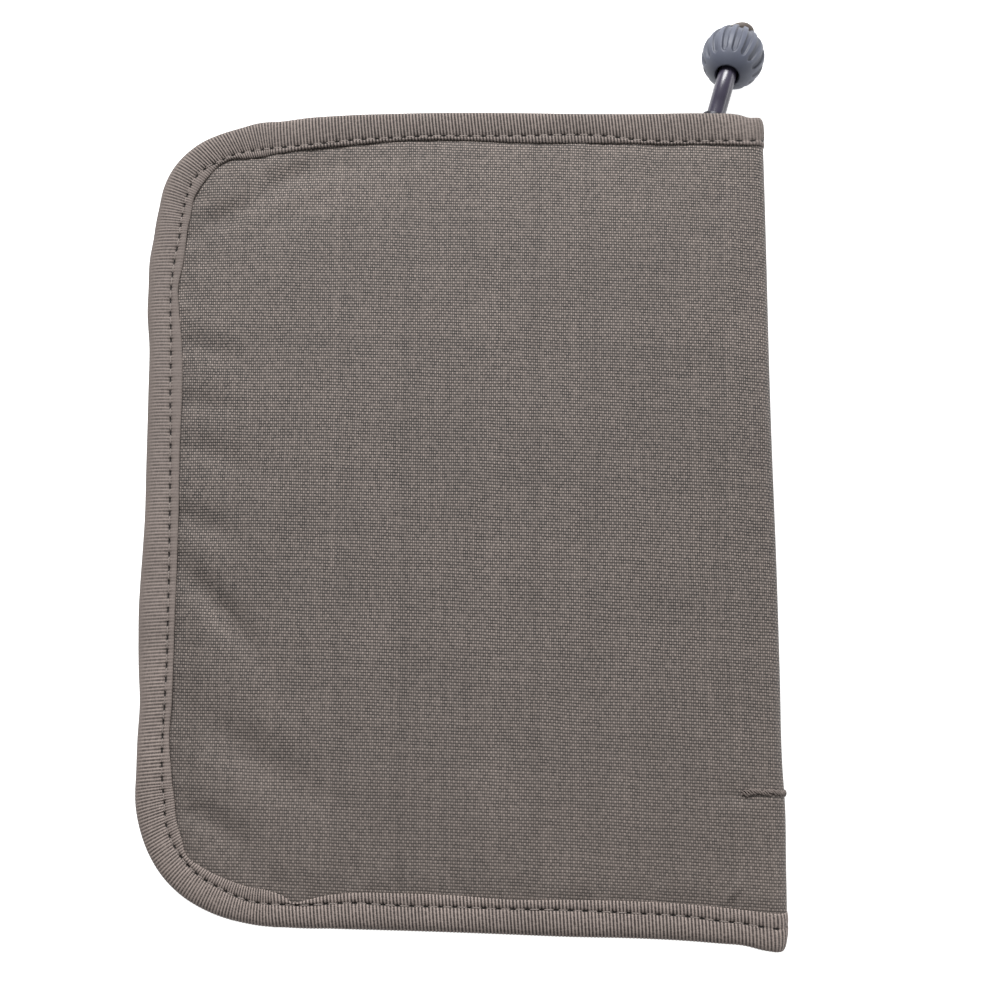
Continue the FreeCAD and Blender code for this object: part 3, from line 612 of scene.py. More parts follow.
def panel_grid(back):
    """The face of a cover and its half of the spine, row by row, and each point's place on the cloth."""
    rows = np.linspace(BOTTOM + PANEL_INSET, TOP - PANEL_INSET, 236)
    flat_end = SPINE_SKIN - FOLD_RADIUS
    share = np.linspace(0, 1, 176)
    angles = np.linspace(0, math.pi / 2, 9)[1:]
    drops = np.linspace(0, 1, 9)[1:]
    y = rows[:, None]
    left = cover_left(rows, PANEL_INSET)[:, None]
    x = left + (flat_end - left) * share
    past_fold = ease(x, flat_end - 6, flat_end)
    at_fold = 0.55 * ease(np.abs(y), TOP - 1, TOP - 9)
    lift = panel_height(x, y, back) * (1 - past_fold) + at_fold * past_fold
    flat = joined(x, y, SEAT + lift)
    fold_z = SEAT + at_fold - FOLD_RADIUS
    out = through(SPINE_BOW, y) * (0.5 if back else 1)
    turn = joined(flat_end + (FOLD_RADIUS + out) * np.sin(angles), y, fold_z + FOLD_RADIUS * np.cos(angles))
    bulge = 0.35 * np.sin(drops * math.pi / 2) * ease(np.abs(y), TOP - 1, TOP - 12)
    down = joined(flat_end + FOLD_RADIUS + out + bulge, y, fold_z + (MIDDLE_Z - fold_z) * drops)
    points = np.concatenate([flat, turn, down], axis=1)
    steps = np.linalg.norm(np.diff(points[:, share.size - 1 :], axis=1), axis=2)
    cloth_x = np.concatenate([x, np.cumsum(steps, axis=1) + flat_end], axis=1)
    cloth_y = y + cloth_x * (0.042 + 0.00016 * cloth_x)
    return points, cloth_x, cloth_y


def closed_between(top, under):
    """Points and faces of the closed piece between two grids of points."""
    rows, columns = top.shape[:2]
    both = np.concatenate([top.reshape(-1, 3), under.reshape(-1, 3)])
    count = rows * columns
    faces = grid_faces(rows, columns) + grid_faces(rows, columns, count, flip=True)
    place = np.arange(count).reshape(rows, columns)
    border = np.concatenate([place[0], place[1:, -1], place[-1, -2::-1], place[-2:0:-1, 0]])
    following = np.roll(border, -1)
    faces += np.stack([border, border + count, following + count, following], -1).tolist()
    return both, faces


def closed_sheet(points, thickness):
    """Points and faces of a sheet of even thickness under a grid of points."""
    normal = unit(np.cross(np.gradient(points, axis=1), np.gradient(points, axis=0)))
    return closed_between(points, points - normal * thickness)


def make_panel(name, back):
    points, cloth_x, cloth_y = panel_grid(back)
    both, faces = closed_sheet(points, PANEL_THICKNESS)
    if back:
        both, faces = turned_over(both, faces)
    return add_mesh(name, both, faces, PANEL, cloth_map(cloth_x, cloth_y))


# ---- the edge binding

# The tape's section, as it goes round: where the point lies between the lines of the edge
# (0 outer edge, 1 seam, 2 inner edge), how much further in, its height, and which way ribs stand.
TAPE_SECTION = [
    (2.0, 0.0, -0.55, 0, 0), (2.0, 0.0, -0.3, -0.5, 0.7), (1.9, 0.0, -0.16, 0, 1),
    (1.6, 0.0, 0.02, 0, 1), (1.3, 0.0, 0.02, 0, 1), (1.0, 0.30, -0.10, 0, 1), (1.0, 0.12, -0.18, 0, 1),
    (1.0, 0.0, -0.22, 0, 1), (1.0, -0.12, -0.18, 0, 1), (1.0, -0.30, -0.10, 0, 1),
    (0.85, 0.0, 0.06, 0, 1), (0.7, 0.0, 0.18, 0, 1), (0.55, 0.0, 0.25, 0, 1), (0.4, 0.0, 0.24, 0, 1),
    (0.27, 0.0, 0.14, -0.2, 1), (0.16, 0.0, -0.05, -0.5, 0.9), (0.08, 0.0, -0.33, -0.7, 0.7),
    (0.02, 0.0, -0.7, -0.9, 0.4), (0.0, 0.0, -1.2, -1, 0), (0.0, 0.0, -2.0, -1, 0),
    (0.0, 0.05, -2.9, -1, 0), (0.0, 0.3, -3.5, -0.8, -0.5), (0.0, 0.9, -3.95, -0.4, -0.9),
    (0.0, 2.4, -4.1, 0, -1), (0.0, 4.8, -4.1, 0, -1), (0.0, 7.2, -4.1, 0, -1), (0.0, 7.25, -3.7, 0, 0),
    (0.0, 4.0, -3.6, 0, 0), (0.0, 1.2, -3.4, 0, 0), (0.0, 0.6, -2.2, 0, 0), (0.0, 0.9, -0.9, 0, 0),
    (0.45, 0.0, -0.35, 0, 0), (1.0, 0.0, -0.72, 0, 0), (1.5, 0.0, -0.5, 0, 0),
]

# The section's point on the seam, and how thick the taped edge is on the spine and on a cover.
SEAM_POINT = 7
SPINE_DEPTH = 2.2
COVER_DEPTH = 4.1

# How far the tape stands out at the two ends of the spine, over the panel it is folded round.
SPINE_STANDOUT = [(0, 0.45), (5, 0.4), (9, 0.1), (14, 0.0), (422, 0.0), (426, 0.3), (430, 1.2), (437, 1.7)]

# Where the bartack lies, where it ends on the cover and on the spine, and its twist's length.
BARTACK_Y = -59.7
BARTACK_LEFT = 58.3
BARTACK_LOW = 12.6
BARTACK_TWIST = 2.4

# How strongly the ribs stand out along the edge's path.
RIB_STRENGTH = [
    (0, 0.25), (8, 0.3), (14, 0.6), (30, 1.1), (60, 1.3), (100, 1.2), (116, 0.9), (132, 0.9), (145, 0.6),
    (160, 0.45), (200, 0.4), (255, 0.45), (280, 0.6), (300, 0.65), (320, 0.85), (345, 1.0), (380, 1.1),
    (415, 0.95), (430, 0.7), (437, 0.5),
]


def rib_strength(s, depth, from_seam):
    """Ribs are worn smooth on the long side's rolled edge, and between its seam and its inner edge."""
    worn = ease(s, 118, 150) * (1 - ease(s, 258, 305))
    rolled = 1 - (0.35 + 0.5 * worn) * (1 - ease(depth, 0.3, 1.0 + 1.3 * worn))
    inner = 1 - 0.65 * worn * ease(from_seam, 0.2, 0.7)
    return through(RIB_STRENGTH, s) * rolled * inner


def tape_points(s, slant, back):
    """The binding's points at distances s, as rings of TAPE_SECTION, and their two maps."""
    section = np.array(TAPE_SECTION)
    line, extra, height, rib_out, rib_up = section.T
    outer, seam, inner = (a[:, None] for a in edge_lines(s, back))
    share = np.clip(line, 0, 1)
    past = np.clip(line - 1, 0, 1)
    inset = outer + (seam - outer) * share + (inner - seam) * past + extra
    cover = on_cover(s)[:, None]
    depth_share = cover + (1 - cover) * SPINE_DEPTH / COVER_DEPTH
    inset = np.where(line == 0, outer + extra * (0.55 + 0.45 * cover), inset)
    stitch = s[:, None] / STITCH_PITCH
    near_seam = bell(inset - seam, 0, 0.28) * (line > 0) * (height > -0.34)
    from_hole = np.abs(stitch % 1 - 0.5)
    hole = near_seam * ease(from_hole, HOLE_SHARE / 2 + 0.06, HOLE_SHARE / 2 - 0.02)
    top = (height > -1) & (line > 0)
    gather = 0.05 * np.cos(TURN * stitch) * bell(inset - seam, 0, 1.6) * top
    swell = 0.1 * waves(17 + back, s, longest=26)[:, None] * top
    rib = s[:, None] / RIB_PITCH + slant * (inset - seam)
    strength = rib_strength(s[:, None], np.where(line > 0, inset - outer, 1.0), inset - seam)
    ribs = np.cos(TURN * rib) * RIB_HEIGHT * strength
    standout = np.interp(s, *np.array(SPINE_STANDOUT).T)[:, None] * (0.5 if back else 1)
    standout = standout * (0.45 + 0.55 * ease(inset - outer, 0, 5))
    height = height * depth_share + gather + swell + standout - 0.22 * hole + ribs * rib_up
    inset = inset + ribs * rib_out
    point, outward, normal = (a[:, None, :] for a in on_track(s))
    points = point - outward * inset[..., None] + normal * height[..., None]
    across, rise = (np.diff(a, axis=1, prepend=a[:, :1]) for a in (inset, height))
    round_tape = np.cumsum(np.hypot(across, rise), axis=1)
    from_seam = round_tape[:, SEAM_POINT, None] - round_tape
    return points, {"Weave": map_of(rib, from_seam), "Stitch": map_of(stitch, strength)}


def make_binding(name, back):
    count = int(TRACK_LENGTH / (RIB_PITCH / 4))
    s = np.arange(count + 1) * TRACK_LENGTH / count
    slant = 0.12 if back else 0.10 + 0.06 * np.sin(s[:, None] / 40)
    points, maps = tape_points(s, slant, back)
    flat = points.reshape(-1, 3)
    faces = ring_faces(*points.shape[:2])
    if back:
        flat, faces = turned_over(flat, faces)
        flat[:, 2] = np.maximum(flat[:, 2], 0)
    return add_mesh(name, flat, faces, TAPE, maps)


def seam_threads(length, place, pitch=STITCH_PITCH, radius=0.15, sink=0.42):
    """The thread that shows between a seam's needle holes: one short arch for each stitch.

    place gives points, sideways directions and upward directions at distances along the seam.
    """
    around, rings = 6, 9
    points, faces = [], []
    t = np.linspace(-0.5, 0.5, rings)
    thick = radius * np.sqrt(np.clip(1 - (2 * t) ** 6, 0.05, 1))
    for k in range(1, int(length / pitch)):
        point, side, up = place((k + t * (1 - HOLE_SHARE * 0.7)) * pitch)
        path = point - up * (0.18 + sink * (2 * t) ** 4)[:, None]
        ring, more = tube(path, side, thick, around, len(points) * rings * around)
        points.append(ring)
        faces += more
    return np.concatenate(points), faces


def make_stitches(name, back):
    def place(s):
        point, outward, normal = on_track(s)
        return point - outward * edge_lines(s, back)[1][:, None], outward, normal

    flat, faces = seam_threads(TRACK_LENGTH - 2, place)
    if back:
        flat, faces = turned_over(flat, faces)
        flat[:, 2] = np.maximum(flat[:, 2], 0.02)
    return add_mesh(name, flat, faces, THREAD)


def make_bartack():
    """Four twisted strands sewn across the fold of the spine, where a pocket inside ends."""
    points = panel_grid(back=False)[0]
    row = points[np.argmin(np.abs(points[:, 0, 1] - BARTACK_Y))]
    row = row[(row[:, 0] > BARTACK_LEFT) & (row[:, 2] > BARTACK_LOW)]
    steps = lengths_along(row)
    s = np.linspace(0, steps[-1], 120)
    core = np.stack([np.interp(s, steps, row[:, k]) for k in range(3)], -1)
    across = np.broadcast_to((0.0, 1.0, 0.0), core.shape)
    out = np.cross(unit(np.gradient(core, axis=0)), across)
    core = core + out * 0.08 + across * 0.25 * waves(9, s, longest=9)[:, None]
    pieces, faces, around = [], [], 8
    for strand in range(4):
        turn = s / BARTACK_TWIST * TURN + strand * math.pi / 2
        loose = 0.36 + 0.26 * waves(13 + strand, s, longest=5)
        sway = across * (np.cos(turn) * loose)[:, None] + out * (np.sin(turn) * 0.2)[:, None]
        thick = 0.2 * ease(s, -0.3, 0.8) * ease(s, steps[-1] + 0.3, steps[-1] - 0.8)
        ring, more = tube(core + sway, across, thick, around, len(pieces) * len(s) * around)
        pieces.append(ring)
        faces += more
    return add_mesh("bartack", np.concatenate(pieces), faces, TACK)


def across_fold(obj, back):
    """Bake a piece's place into its mesh, the same for either cover.
    """
    if back:
        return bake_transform(obj)
    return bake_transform(obj)


def stands_for(obj, slot, *nodes):
    """Hide the nodes of the CAD that a piece takes the place of; slot is not used."""
    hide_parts(*nodes)
    return obj


def make_outside(back):
    side = "back" if back else "front"
    panel = across_fold(make_panel(f"{side}_panel", back), back)
    binding = across_fold(make_binding(f"{side}_binding", back), back)
    stitches = across_fold(make_stitches(f"{side}_stitches", back), back)
    foam = make_foam(side)
    if back:
        stands_for(panel, "shell_fabric", "back_outer_panel")
        stands_for(binding, "edge_binding", "back_edge_binding", "spine_binding_bottom")
    else:
        stands_for(panel, "shell_fabric", "front_outer_panel", "spine_outer_panel")
        stands_for(binding, "edge_binding", "front_edge_binding", "spine_binding_top")
        bartack = across_fold(make_bartack(), back)


# ---- the pull


def along_pull(reach, height):
    """A point on the pull's middle plane, in millimetres."""
    x = PULL_PIVOT[0] + reach * math.cos(PULL_ANGLE)
    y = PULL_PIVOT[1] + reach * math.sin(PULL_ANGLE)
    return Vector((x, y, height))


def ball_place():
    """The ball's own frame: its axis points from the cord's side to the far side, and down."""
    level = math.cos(BALL_TILT)
    axis = Vector((math.cos(PULL_ANGLE) * level, math.sin(PULL_ANGLE) * level, -math.sin(BALL_TILT)))
    turn = axis.to_track_quat("Z", "X").to_matrix().to_4x4()
    return Matrix.Translation(along_pull(BALL_REACH, BALL_HEIGHT)) @ turn


def make_ball():
    """Rings round the ball's axis: over its grooved outside, and back through its bore."""
    segments = BALL_GROOVES * 16
    angles = np.linspace(0, TURN, segments, endpoint=False)
    mouth = math.asin(BALL_MOUTH / BALL_RADIUS)
    groove = ease(np.cos(BALL_GROOVES * angles), -0.25, 0.3)
    rings, groove_shades = [], []
    for polar in np.linspace(math.pi - mouth, mouth, 110):
        reach = math.degrees(polar)
        end = 129 + 4 * np.cos(BALL_GROOVES * angles)
        sunk = groove * ease(reach, end, end - 6) * ease(reach, 24, 34)
        radius = BALL_RADIUS - GROOVE_DEPTH * sunk
        rings.append((radius * math.sin(polar), radius * math.cos(polar) * BALL_STRETCH))
        # Painted shade: most on the grooves' walls, a little on their floors.
        groove_shades.append(3.0 * sunk * (1 - sunk) + 0.25 * sunk)
    edge = BALL_RADIUS * math.cos(mouth) * BALL_STRETCH
    lip = BALL_MOUTH - 0.2
    bore = [(lip, edge), (BALL_BORE, edge - 0.7), (BALL_BORE, 0.0), (BALL_BORE, 0.7 - edge), (lip, -edge)]
    rings += bore
    # The bore takes painted shade too.
    groove_shades += [0 * groove + 0.6] * len(bore)
    maps = {"Groove": np.stack([np.concatenate(groove_shades)] * 2, -1)}
    points = [joined(radii * np.cos(angles), radii * np.sin(angles), along) for radii, along in rings]
    flat = moved(np.concatenate(points), ball_place())
    ball = add_mesh("ball", flat, loop_faces(len(rings), segments), BALL, maps)
    return stands_for(ball, "ball_plastic", "pull_ball")


def make_knot():
    """The cord's end, tied in a knot that sits in the ball's far mouth."""
    turns, steps, around = 3, 150, 10
    major, minor, thread = 2.35, 0.7, 1.0
    t = np.linspace(0, 1, steps, endpoint=False) * TURN
    swing = major + minor * np.cos(turns * t)
    path = joined(swing * np.cos(2 * t), swing * np.sin(2 * t), minor * 1.1 * np.sin(turns * t))
    flat, _ = tube(path, np.broadcast_to((0.0, 0.0, 1.0), path.shape), thread, around)
    flat = moved(flat + np.array((0, 0, BALL_RADIUS * 1.08)), ball_place())
    knot = add_mesh("knot", flat, loop_faces(steps, around), KNOT)
    return stands_for(knot, "knot_cord", "pull_knot")


def make_cord():
    curve = bpy.data.curves.new("cord", "CURVE")
    curve.dimensions = "3D"
    curve.bevel_depth = CORD_RADIUS * MM
    curve.bevel_resolution = 5
    curve.resolution_u = 16
    curve.use_fill_caps = True
    route = [along_pull(reach, height) * MM for reach, height in CORD_ROUTE]
    spline = curve.splines.new("NURBS")
    spline.points.add(len(route) - 1)
    for point, place in zip(spline.points, route):
        point.co = (*place, 1.0)
    spline.order_u = 3
    spline.use_endpoint_u = True
    curve.materials.append(CORD)
    cord = stands_for(link(bpy.data.objects.new("cord", curve)), "cord_sheath", "pull_cord")
    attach(cord, "zip_pull")


def make_pull():
    ball, knot = make_ball(), make_knot()
    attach(ball, "zip_pull")
    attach(knot, "zip_pull")
    make_cord()


# ---- inside the covers

# Inner pieces are shaped on the back cover, facing up, and turned over for the front cover.
# The middle of the zip's tape is given as distances in from the edge, and heights. The front half
# of the coil ends early, so that the parked slider has room.
LINING_FACE = 3.0
LINING_RIGHT = 65.4
ZIP_INSET = 8.35
ZIP_RIGHT = 62.5
ZIP_TAPE_MIDDLE = [
    (2.6, 3.22), (5.0, 3.22), (7.0, 3.24), (7.8, 3.4), (8.2, 3.8), (8.35, 4.4), (8.35, 5.5), (8.35, 6.8),
]
COIL_MIDDLE = 7.45
COIL_PITCH = 1.35
BACK_COIL_RIGHT, FRONT_COIL_RIGHT = 60.9, 47.4


def add_inner(name, side, slot, nodes, shape, material, maps=None, bends=False):
    """A piece on a cover's inner side, which rides it, or stays where it is when bends is set."""
    points, faces = shape
    if side == "front":
        points, faces = turned_over(points, faces)
    obj = add_mesh(name, points, faces, material, maps)
    if bends:
        across_fold(obj, back=side == "back")
    else:
        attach(obj, f"{side}_cover")
    return stands_for(obj, slot, *nodes)


def cover_grid(inset, right, rows, columns):
    """Places over a cover, row by row: x and y, and the distance in from its edge."""
    y = np.linspace(BOTTOM + inset, TOP - inset, rows)[:, None]
    left = cover_left(y[:, 0], inset)[:, None]
    x = left + (right - left) * np.linspace(0, 1, columns)
    y = np.broadcast_to(y, x.shape)
    depth = np.minimum(edge_place(x, y)[1] - inset, right - x)
    return x, y, np.clip(depth, 0, None)


def make_foam(side):
    """Thin padding between the outer panel and the lining, thinner at its edges."""
    x, y, depth = cover_grid(2.6, 62.6, 110, 90)
    half = 0.08 + 0.2 * ease(depth, -0.6, 2.4) + 0.03 * waves(41, x, y, longest=18)
    middle = 2.05
    shape = closed_between(joined(x, y, middle + half), joined(x, y, middle - half))
    foam = add_inner(f"{side}_pad", side, "foam", [f"{side}_foam"], shape, FOAM)
    return foam


def make_lining(side):
    """A cover's lining, with its half of the spine's."""
    bend = 1.2
    bend_x = LINING_RIGHT - bend
    x, y, depth = cover_grid(0.9, bend_x, 130, 110)
    seat = LINING_FACE - 0.1
    z = seat + 0.08 * waves(43, x, y, longest=30) * ease(depth, 4, 20)
    rows = y[:, :1]
    turn = np.linspace(0, math.pi / 2, 7)[1:]
    rise = np.linspace(0, 1, 12)[1:]
    folded_x = np.concatenate([bend_x + bend * np.sin(turn), LINING_RIGHT + 0.12 * np.sin(rise * 3.1)])
    up = seat + bend
    folded_z = np.concatenate([seat + bend * (1 - np.cos(turn)), up + (MIDDLE_Z - seat - bend) * rise])
    points = np.concatenate([joined(x, y, z), joined(folded_x, rows, folded_z)], axis=1)
    beyond = bend_x + np.linspace(0.3, 8, len(folded_x)) + 0 * rows
    maps = cloth_map(np.concatenate([x, beyond], axis=1), rows)
    shape = closed_sheet(points, 0.3)
    nodes = [f"{side}_lining"] + (["spine_lining"] if side == "back" else [])
    name = f"{side}_inner_lining"
    lining = add_inner(name, side, "lining_fabric", nodes, shape, LINING, maps, bends=True)


def zip_ends(right):
    """Where the zip's path starts and ends along the edge's path."""
    first = FOLD_END + RIGHT - FOLD_RADIUS - right
    return first, TRACK_LENGTH - first


def make_zip_tape(side):
    """The zip's tape: sewn flat under the binding, then standing up to carry the coil."""
    middle = np.array(ZIP_TAPE_MIDDLE)
    along = unit(np.gradient(middle, axis=0))
    across = np.stack([-along[:, 1], along[:, 0]], -1) * 0.2
    section = np.concatenate([middle + across, (middle - across)[::-1]])
    first, last = zip_ends(ZIP_RIGHT)
    s = np.linspace(first, last, 400)
    point, outward, _ = on_track(s)
    points = point[:, None] - outward[:, None] * section[None, :, :1]
    points[..., 2] = section[:, 1] + 0.05 * waves(47, s, longest=20)[:, None]
    maps = {"Weave": map_of(s[:, None], lengths_along(section))}
    shape = points.reshape(-1, 3), [face[::-1] for face in ring_faces(len(s), len(section))]
    add_inner(f"{side}_tape", side, "zip_tape", [f"{side}_zip_tape"], shape, ZIP_TAPE, maps)


def make_coil(side):
    """The zip's coil: a long flattened spring of nylon sewn to the tape."""
    first, last = zip_ends(BACK_COIL_RIGHT)
    if side == "front":
        first = zip_ends(FRONT_COIL_RIGHT)[0]
    turns = round((last - first) / COIL_PITCH)
    t = np.linspace(0, 1, turns * 10 + 1)
    angle = t * turns * TURN
    point, outward, _ = on_track(first + (last - first) * t)
    up = np.array((0.0, 0.0, 1.0))
    radial = outward * np.cos(angle)[:, None] * 0.5 + up * np.sin(angle)[:, None] * 0.76
    path = point - outward * ZIP_INSET
    path[:, 2] = COIL_MIDDLE
    shape = tube(path + radial, radial, 0.28, 6)
    add_inner(f"{side}_coil", side, "zip_coil", [f"{side}_zip_coil"], shape, COIL)


# How far in from a pocket's edge its seam runs.
SEAM_INSET = 1.3


class Pocket:
    """A flat pocket: cloth sewn down on three sides, from height low at its seam to height top.

    mouth names its open side, right or top; corner is the radius of its two sewn corners.
    """

    def __init__(self, sides, mouth, low, top, corner=0.0, seed=0):
        self.sides, self.mouth, self.low, self.top = sides, mouth, low, top
        self.corner, self.seed = corner, seed

    def past_straight(self, y):
        """How far y is past the straight stretch between the two sewn corners."""
        bottom, top = self.sides[2:]
        return np.abs(y - (top + bottom) / 2) - (top - bottom) / 2 + self.corner

    def depth(self, x, y):
        """The distance in from the nearest sewn edge."""
        left, right, bottom, top = self.sides
        third = top - y if self.mouth == "right" else right - x
        nearest = np.minimum(np.minimum(x - left, y - bottom), third)
        if self.corner:
            dx = np.clip(left + self.corner - x, 0, None)
            dy = np.clip(self.past_straight(y), 0, None)
            nearest = np.where((dx > 0) & (dy > 0), self.corner - np.hypot(dx, dy), nearest)
        return nearest

    def height(self, x, y):
        depth = self.depth(x, y)
        puff = ease(depth, 1.6, 5.0)
        swell = 0.12 * waves(51 + self.seed, x, y, longest=34) * ease(depth, 3, 14)
        pinch = 0.08 * bell(depth, SEAM_INSET, 0.35)
        return self.low + (self.top - self.low) * puff + swell - pinch

    def grid(self):
        """Places over the pocket, about a millimetre apart, row by row."""
        left, right, bottom, top = self.sides
        y = np.linspace(bottom, top, int(top - bottom) + 1)[:, None]
        past = np.clip(self.past_straight(y), 0, self.corner)
        start = left + self.corner - np.sqrt(self.corner**2 - past**2)
        return start + (right - start) * np.linspace(0, 1, int(right - left) + 1), y

    def seam_path(self):
        """Points along the seam, from one end of the mouth round to the other."""
        left, right, bottom, top = self.sides
        low, high = bottom + SEAM_INSET, top - SEAM_INSET
        if self.mouth == "top":
            near, far = left + SEAM_INSET, right - SEAM_INSET
            return np.array([(near, top), (near, low), (far, low), (far, top)])
        radius, quarter = self.corner - SEAM_INSET, math.pi / 2
        path = [(right, high)]
        for y, start in ((top - self.corner, 1), (bottom + self.corner, 2)):
            for angle in np.linspace(start, start + 1, 9) * quarter:
                path.append((left + self.corner + radius * math.cos(angle), y + radius * math.sin(angle)))
        return np.array(path + [(right, low)])

    def seam(self):
        path = self.seam_path()
        steps = lengths_along(path)

        def at(s):
            return np.interp(s, steps, path[:, 0]), np.interp(s, steps, path[:, 1])

        def place(s):
            (x, y), (ahead_x, ahead_y), (behind_x, behind_y) = at(s), at(s + 0.1), at(s - 0.1)
            side = joined(behind_y - ahead_y, ahead_x - behind_x, 0.0)
            up = np.broadcast_to((0.0, 0.0, 1.0), side.shape)
            return joined(x, y, self.height(x, y) + 0.2), side, up

        return seam_threads(steps[-1], place, pitch=2.6, radius=0.12, sink=0.3)


def make_pocket(name, side, pocket, trim=None):
    """The pocket's cloth, its stitches and, from trim[0] to trim[1], the tape on its mouth."""
    x, y = pocket.grid()
    shape = closed_sheet(joined(x, y, pocket.height(x, y)), 0.35)
    cloth = add_inner(f"{name}_cloth", side, "lining_fabric", [name], shape, LINING, cloth_map(x, y))
    extras = [add_inner(f"{name}_stitches", side, "lining_fabric", [], pocket.seam(), THREAD)]
    if trim:
        extras.append(make_trim(f"{name}_trim", side, pocket, trim, f"{name}_binding"))
    return cloth


# The section of the tape folded over a pocket's mouth: how far past the edge, and the height.
TRIM_SECTION = [
    (-5.0, 0.26), (-4.0, 0.34), (-2.5, 0.36), (-1.0, 0.34), (0.0, 0.3), (0.4, 0.12), (0.5, -0.2),
    (0.4, -0.52), (0.0, -0.68), (-2.5, -0.7), (-5.0, -0.66), (-5.0, -0.42), (-2.5, -0.42), (0.05, -0.4),
    (0.12, -0.18), (0.05, 0.03), (-2.5, 0.04), (-5.0, 0.04),
]


def make_trim(name, side, pocket, ends, node):
    """Ribbed tape folded over the mouth of a pocket, from one end to the other."""
    section = np.array(TRIM_SECTION)
    past, height = section.T
    left, right, bottom, top = pocket.sides
    sideways = pocket.mouth == "right"
    along = np.arange(ends[0], ends[1], RIB_PITCH / 4)[:, None]
    x, y = (right + past, along) if sideways else (along, top + past)
    surface = pocket.height(np.clip(x, left, right), np.clip(y, bottom, top))
    ribs = 0.03 * np.cos(TURN * along / RIB_PITCH) * np.sign(height)
    points = joined(x, y, surface + height + ribs)
    maps = {
        "Weave": map_of(along / RIB_PITCH, 3.0 + lengths_along(section)),
        "Stitch": map_of(0 * along, np.full(len(section), 0.8)),
    }
    faces = ring_faces(*points.shape[:2])
    if sideways:
        faces = [face[::-1] for face in faces]
    return add_inner(name, side, "edge_binding", [node], (points.reshape(-1, 3), faces), TAPE, maps)


def rounded_rectangle(sides, radius):
    """Points round a rectangle with rounded corners, the same number whatever its size."""
    left, right, bottom, top = sides
    points = []
    for x, y, turn in (
        (right - radius, top - radius, 0), (left + radius, top - radius, 1),
        (left + radius, bottom + radius, 2), (right - radius, bottom + radius, 3),
    ):
        for angle in np.linspace(turn, turn + 1, 7) * math.pi / 2:
            points.append((x + radius * math.cos(angle), y + radius * math.sin(angle)))
    corners = np.array(points)
    share = np.linspace(0, 1, 12, endpoint=False)[:, None]
    pieces = []
    for start, end in zip(corners, np.roll(corners, -1, axis=0)):
        divided = np.linalg.norm(end - start) > 5
        pieces.append(start + (end - start) * share if divided else start[None])
    return np.concatenate(pieces)


# The clear window and its frame: sides in x and y, how wide the frame is, and the frame's section
# as shares of its width and heights above the lining.
WINDOW_SIDES = (-48.0, 45.0, -70.0, 4.0)
WINDOW_MARGIN = 7.5
FRAME_SECTION = [
    (0.0, 0.1), (0.02, 0.35), (0.15, 0.45), (0.18, 0.4), (0.22, 0.6), (0.45, 1.3), (0.8, 1.4), (0.97, 1.32),
    (1.0, 1.18), (0.97, 1.05), (0.8, 1.02), (0.45, 0.95), (0.2, 0.15), (0.02, 0.05),
]


def make_window():
    left, right, bottom, top = WINDOW_SIDES
    inner_sides = tuple(side + WINDOW_MARGIN * way for side, way in zip(WINDOW_SIDES, (1, -1, 1, -1)))
    outer, inner = rounded_rectangle(WINDOW_SIDES, 1.5), rounded_rectangle(inner_sides, 3.0)
    share, height = np.array(FRAME_SECTION).T
    flat = outer[:, None] + (inner - outer)[:, None] * share[None, :, None]
    points = joined(flat[..., 0], flat[..., 1], LINING_FACE + height)
    shape = points.reshape(-1, 3), loop_faces(len(outer), len(share))
    maps = {"Weave": flat.reshape(-1, 2)}
    x, y = np.linspace(left + 3, right - 3, 60), np.linspace(bottom + 3, top, 50)[:, None]
    z = LINING_FACE + 0.85 + 0.08 * waves(61, x, y, longest=45)
    pane = closed_sheet(joined(x, y, z), 0.25)
    pane = add_inner("id_pane", "front", "clear_vinyl", ["id_window"], pane, VINYL)
    border = add_inner("id_frame", "front", "lining_fabric", ["id_window_frame"], shape, LINING, maps)


def make_pen_sleeve():
    """A narrow sleeve for a pen beside the spine, arched over it and closed at its lower end."""
    middle, half = 55.0, 4.9
    turn = np.linspace(0.06, math.pi - 0.06, 21)
    x = np.concatenate([[49.0, 49.6], middle - half * np.cos(turn), [60.4, 61.0]])
    arch = np.concatenate([[0, 0], np.sin(turn), [0, 0]])
    y = np.linspace(-62, 62, 125)[:, None]
    tall = 0.3 + 4.1 * ease(y, -62, -50) + 0.12 * waves(71, y, longest=40)
    shape = closed_sheet(joined(x, y, LINING_FACE + 0.4 + tall * arch), 0.35)
    cloth_x = np.cumsum(np.hypot(np.diff(x, prepend=x[:1]), 4.4 * np.diff(arch, prepend=0)))
    maps = cloth_map(cloth_x, y)
    sleeve = add_inner("pen_cloth", "front", "lining_fabric", ["pen_sleeve"], shape, LINING, maps)


# The pockets: the sewn sides in x and y, the open side, and the heights of the cloth.
DOCUMENTS = Pocket((-56.5, 58.0, -77.0, 77.0), "right", LINING_FACE + 0.4, 4.7, corner=16.0, seed=1)
PASSPORT = Pocket((-50.0, 46.0, -75.0, 20.0), "top", 5.0, 6.5, seed=2)
CARD_MOUTHS = (66.0, 54.0, 42.0)


def make_inside():
    for side in ("back", "front"):
        make_lining(side)
        make_zip_tape(side)
        make_coil(side)
    documents = make_pocket("document_sleeve", "back", DOCUMENTS, trim=(-73.5, 73.5))
    make_pocket("passport_pocket", "back", PASSPORT, trim=(-46.5, 42.5))
    under = "front_inner_lining"
    for number, mouth_y in enumerate(CARD_MOUTHS):
        sides = (-48.0, 45.0, 10.0, mouth_y)
        low, top = LINING_FACE + 0.4 + 0.5 * number, LINING_FACE + 1.2 * (number + 1)
        pocket = Pocket(sides, "top", low, top, seed=number + 3)
        under = make_pocket(f"card_slot_{number + 1}", "front", pocket)
    make_window()
    make_pen_sleeve()


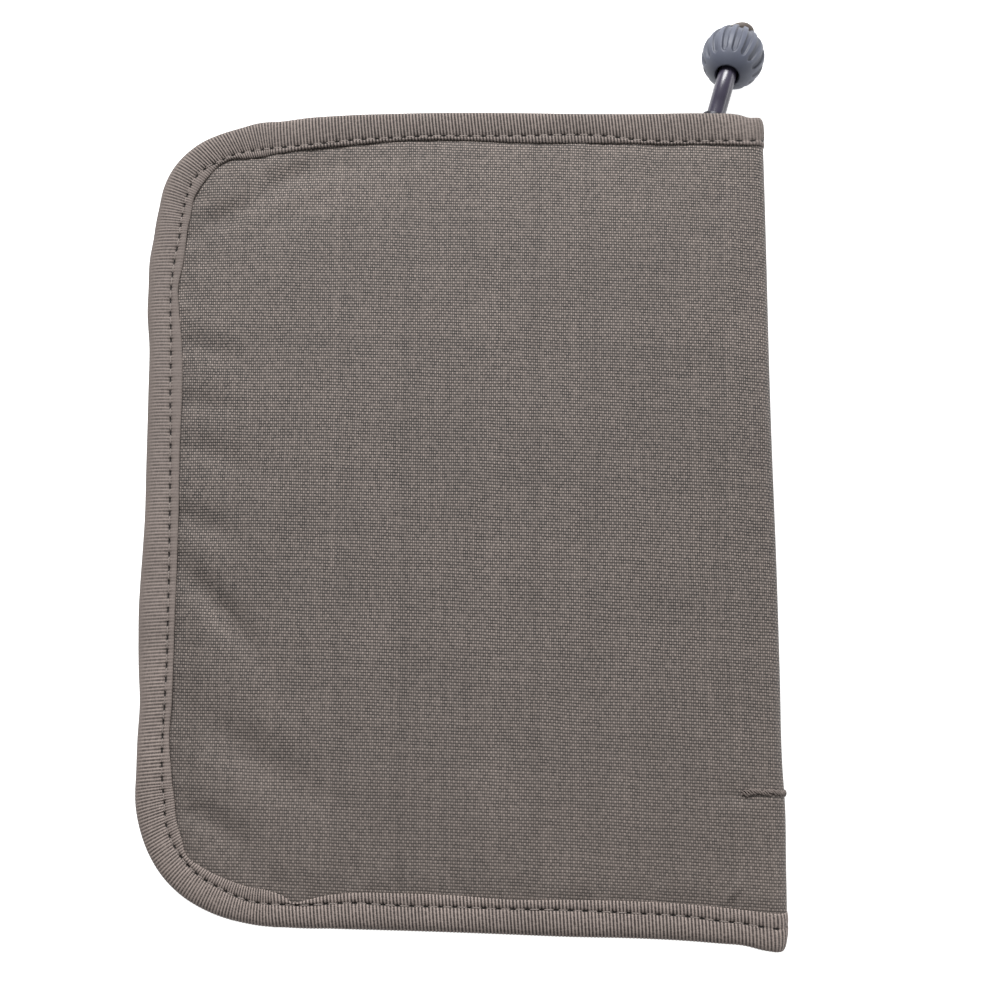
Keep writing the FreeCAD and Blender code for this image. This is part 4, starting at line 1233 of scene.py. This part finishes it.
def paint_nodes():
    """The metal pieces keep their CAD shapes and get a better material."""
    painted = {
        METAL: ("slider_body", "slider_crown", "pull_ferrule"),
        STEEL: ("pull_link", "back_zip_stops", "front_zip_stops"),
    }
    for material, names in painted.items():
        for name in names:
            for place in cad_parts[name].material_slots:
                place.material = material


# ---- the studio


# The camera's place in millimetres, and its turns in degrees from looking straight down: how far
# it is tipped up towards the wallet's top edge, leant to the left, and rolled.
CAMERA_PLACE = (27.2, -61.4, 374.1)
CAMERA_TURNS = (10.015, 2.82, 0.184)
CAMERA_LENS = 61.47


def make_camera():
    data = bpy.data.cameras.new("camera")
    data.lens = CAMERA_LENS
    data.sensor_width = 36.0
    data.clip_start = 0.01
    camera = link(bpy.data.objects.new("camera", data))
    camera.location = Vector(CAMERA_PLACE) * MM
    camera.rotation_euler = [math.radians(turn) for turn in CAMERA_TURNS]
    bpy.context.scene.camera = camera


def area_light(name, place, aim, size, power):
    data = bpy.data.lights.new(name, "AREA")
    data.shape = "RECTANGLE"
    data.size, data.size_y = size
    data.energy = power
    light = link(bpy.data.objects.new(name, data))
    light.location = place
    light.rotation_euler = (Vector(aim) - Vector(place)).to_track_quat("-Z", "Y").to_euler()


def make_studio():
    g = Graph("FloorPaper", Roughness=0.9, Emission_Color=rgb(1.0, 1.0, 1.0), Emission_Strength=0.9)
    paper = g.line(g.noise(g.place(), 0.02), 0.02, 0.5)
    g.colour(g.vector(paper, paper, paper))
    half, low = 4000.0, -0.05
    corners = [(-half, -half, low), (half, -half, low), (half, half, low), (-half, half, low)]
    floor = add_mesh("floor", corners, [(0, 1, 2, 3)], g.material)
    world = bpy.data.worlds.new("studio")
    world.use_nodes = True
    world.node_tree.nodes["Background"].inputs["Color"].default_value = rgb(1.0, 1.0, 1.0)
    world.node_tree.nodes["Background"].inputs["Strength"].default_value = 0.42
    bpy.context.scene.world = world
    area_light("key", (-0.06, 0.5, 0.45), (0, 0, 0), (0.36, 0.25), 8.1)
    area_light("side", (0.7, 0.1, 0.14), (0.03, 0.05, 0), (0.5, 0.18), 1.6)
    bpy.context.scene.view_settings.view_transform = "Standard"


make_camera()
make_pull()
make_outside(back=False)
make_outside(back=True)
make_inside()
paint_nodes()
make_studio()
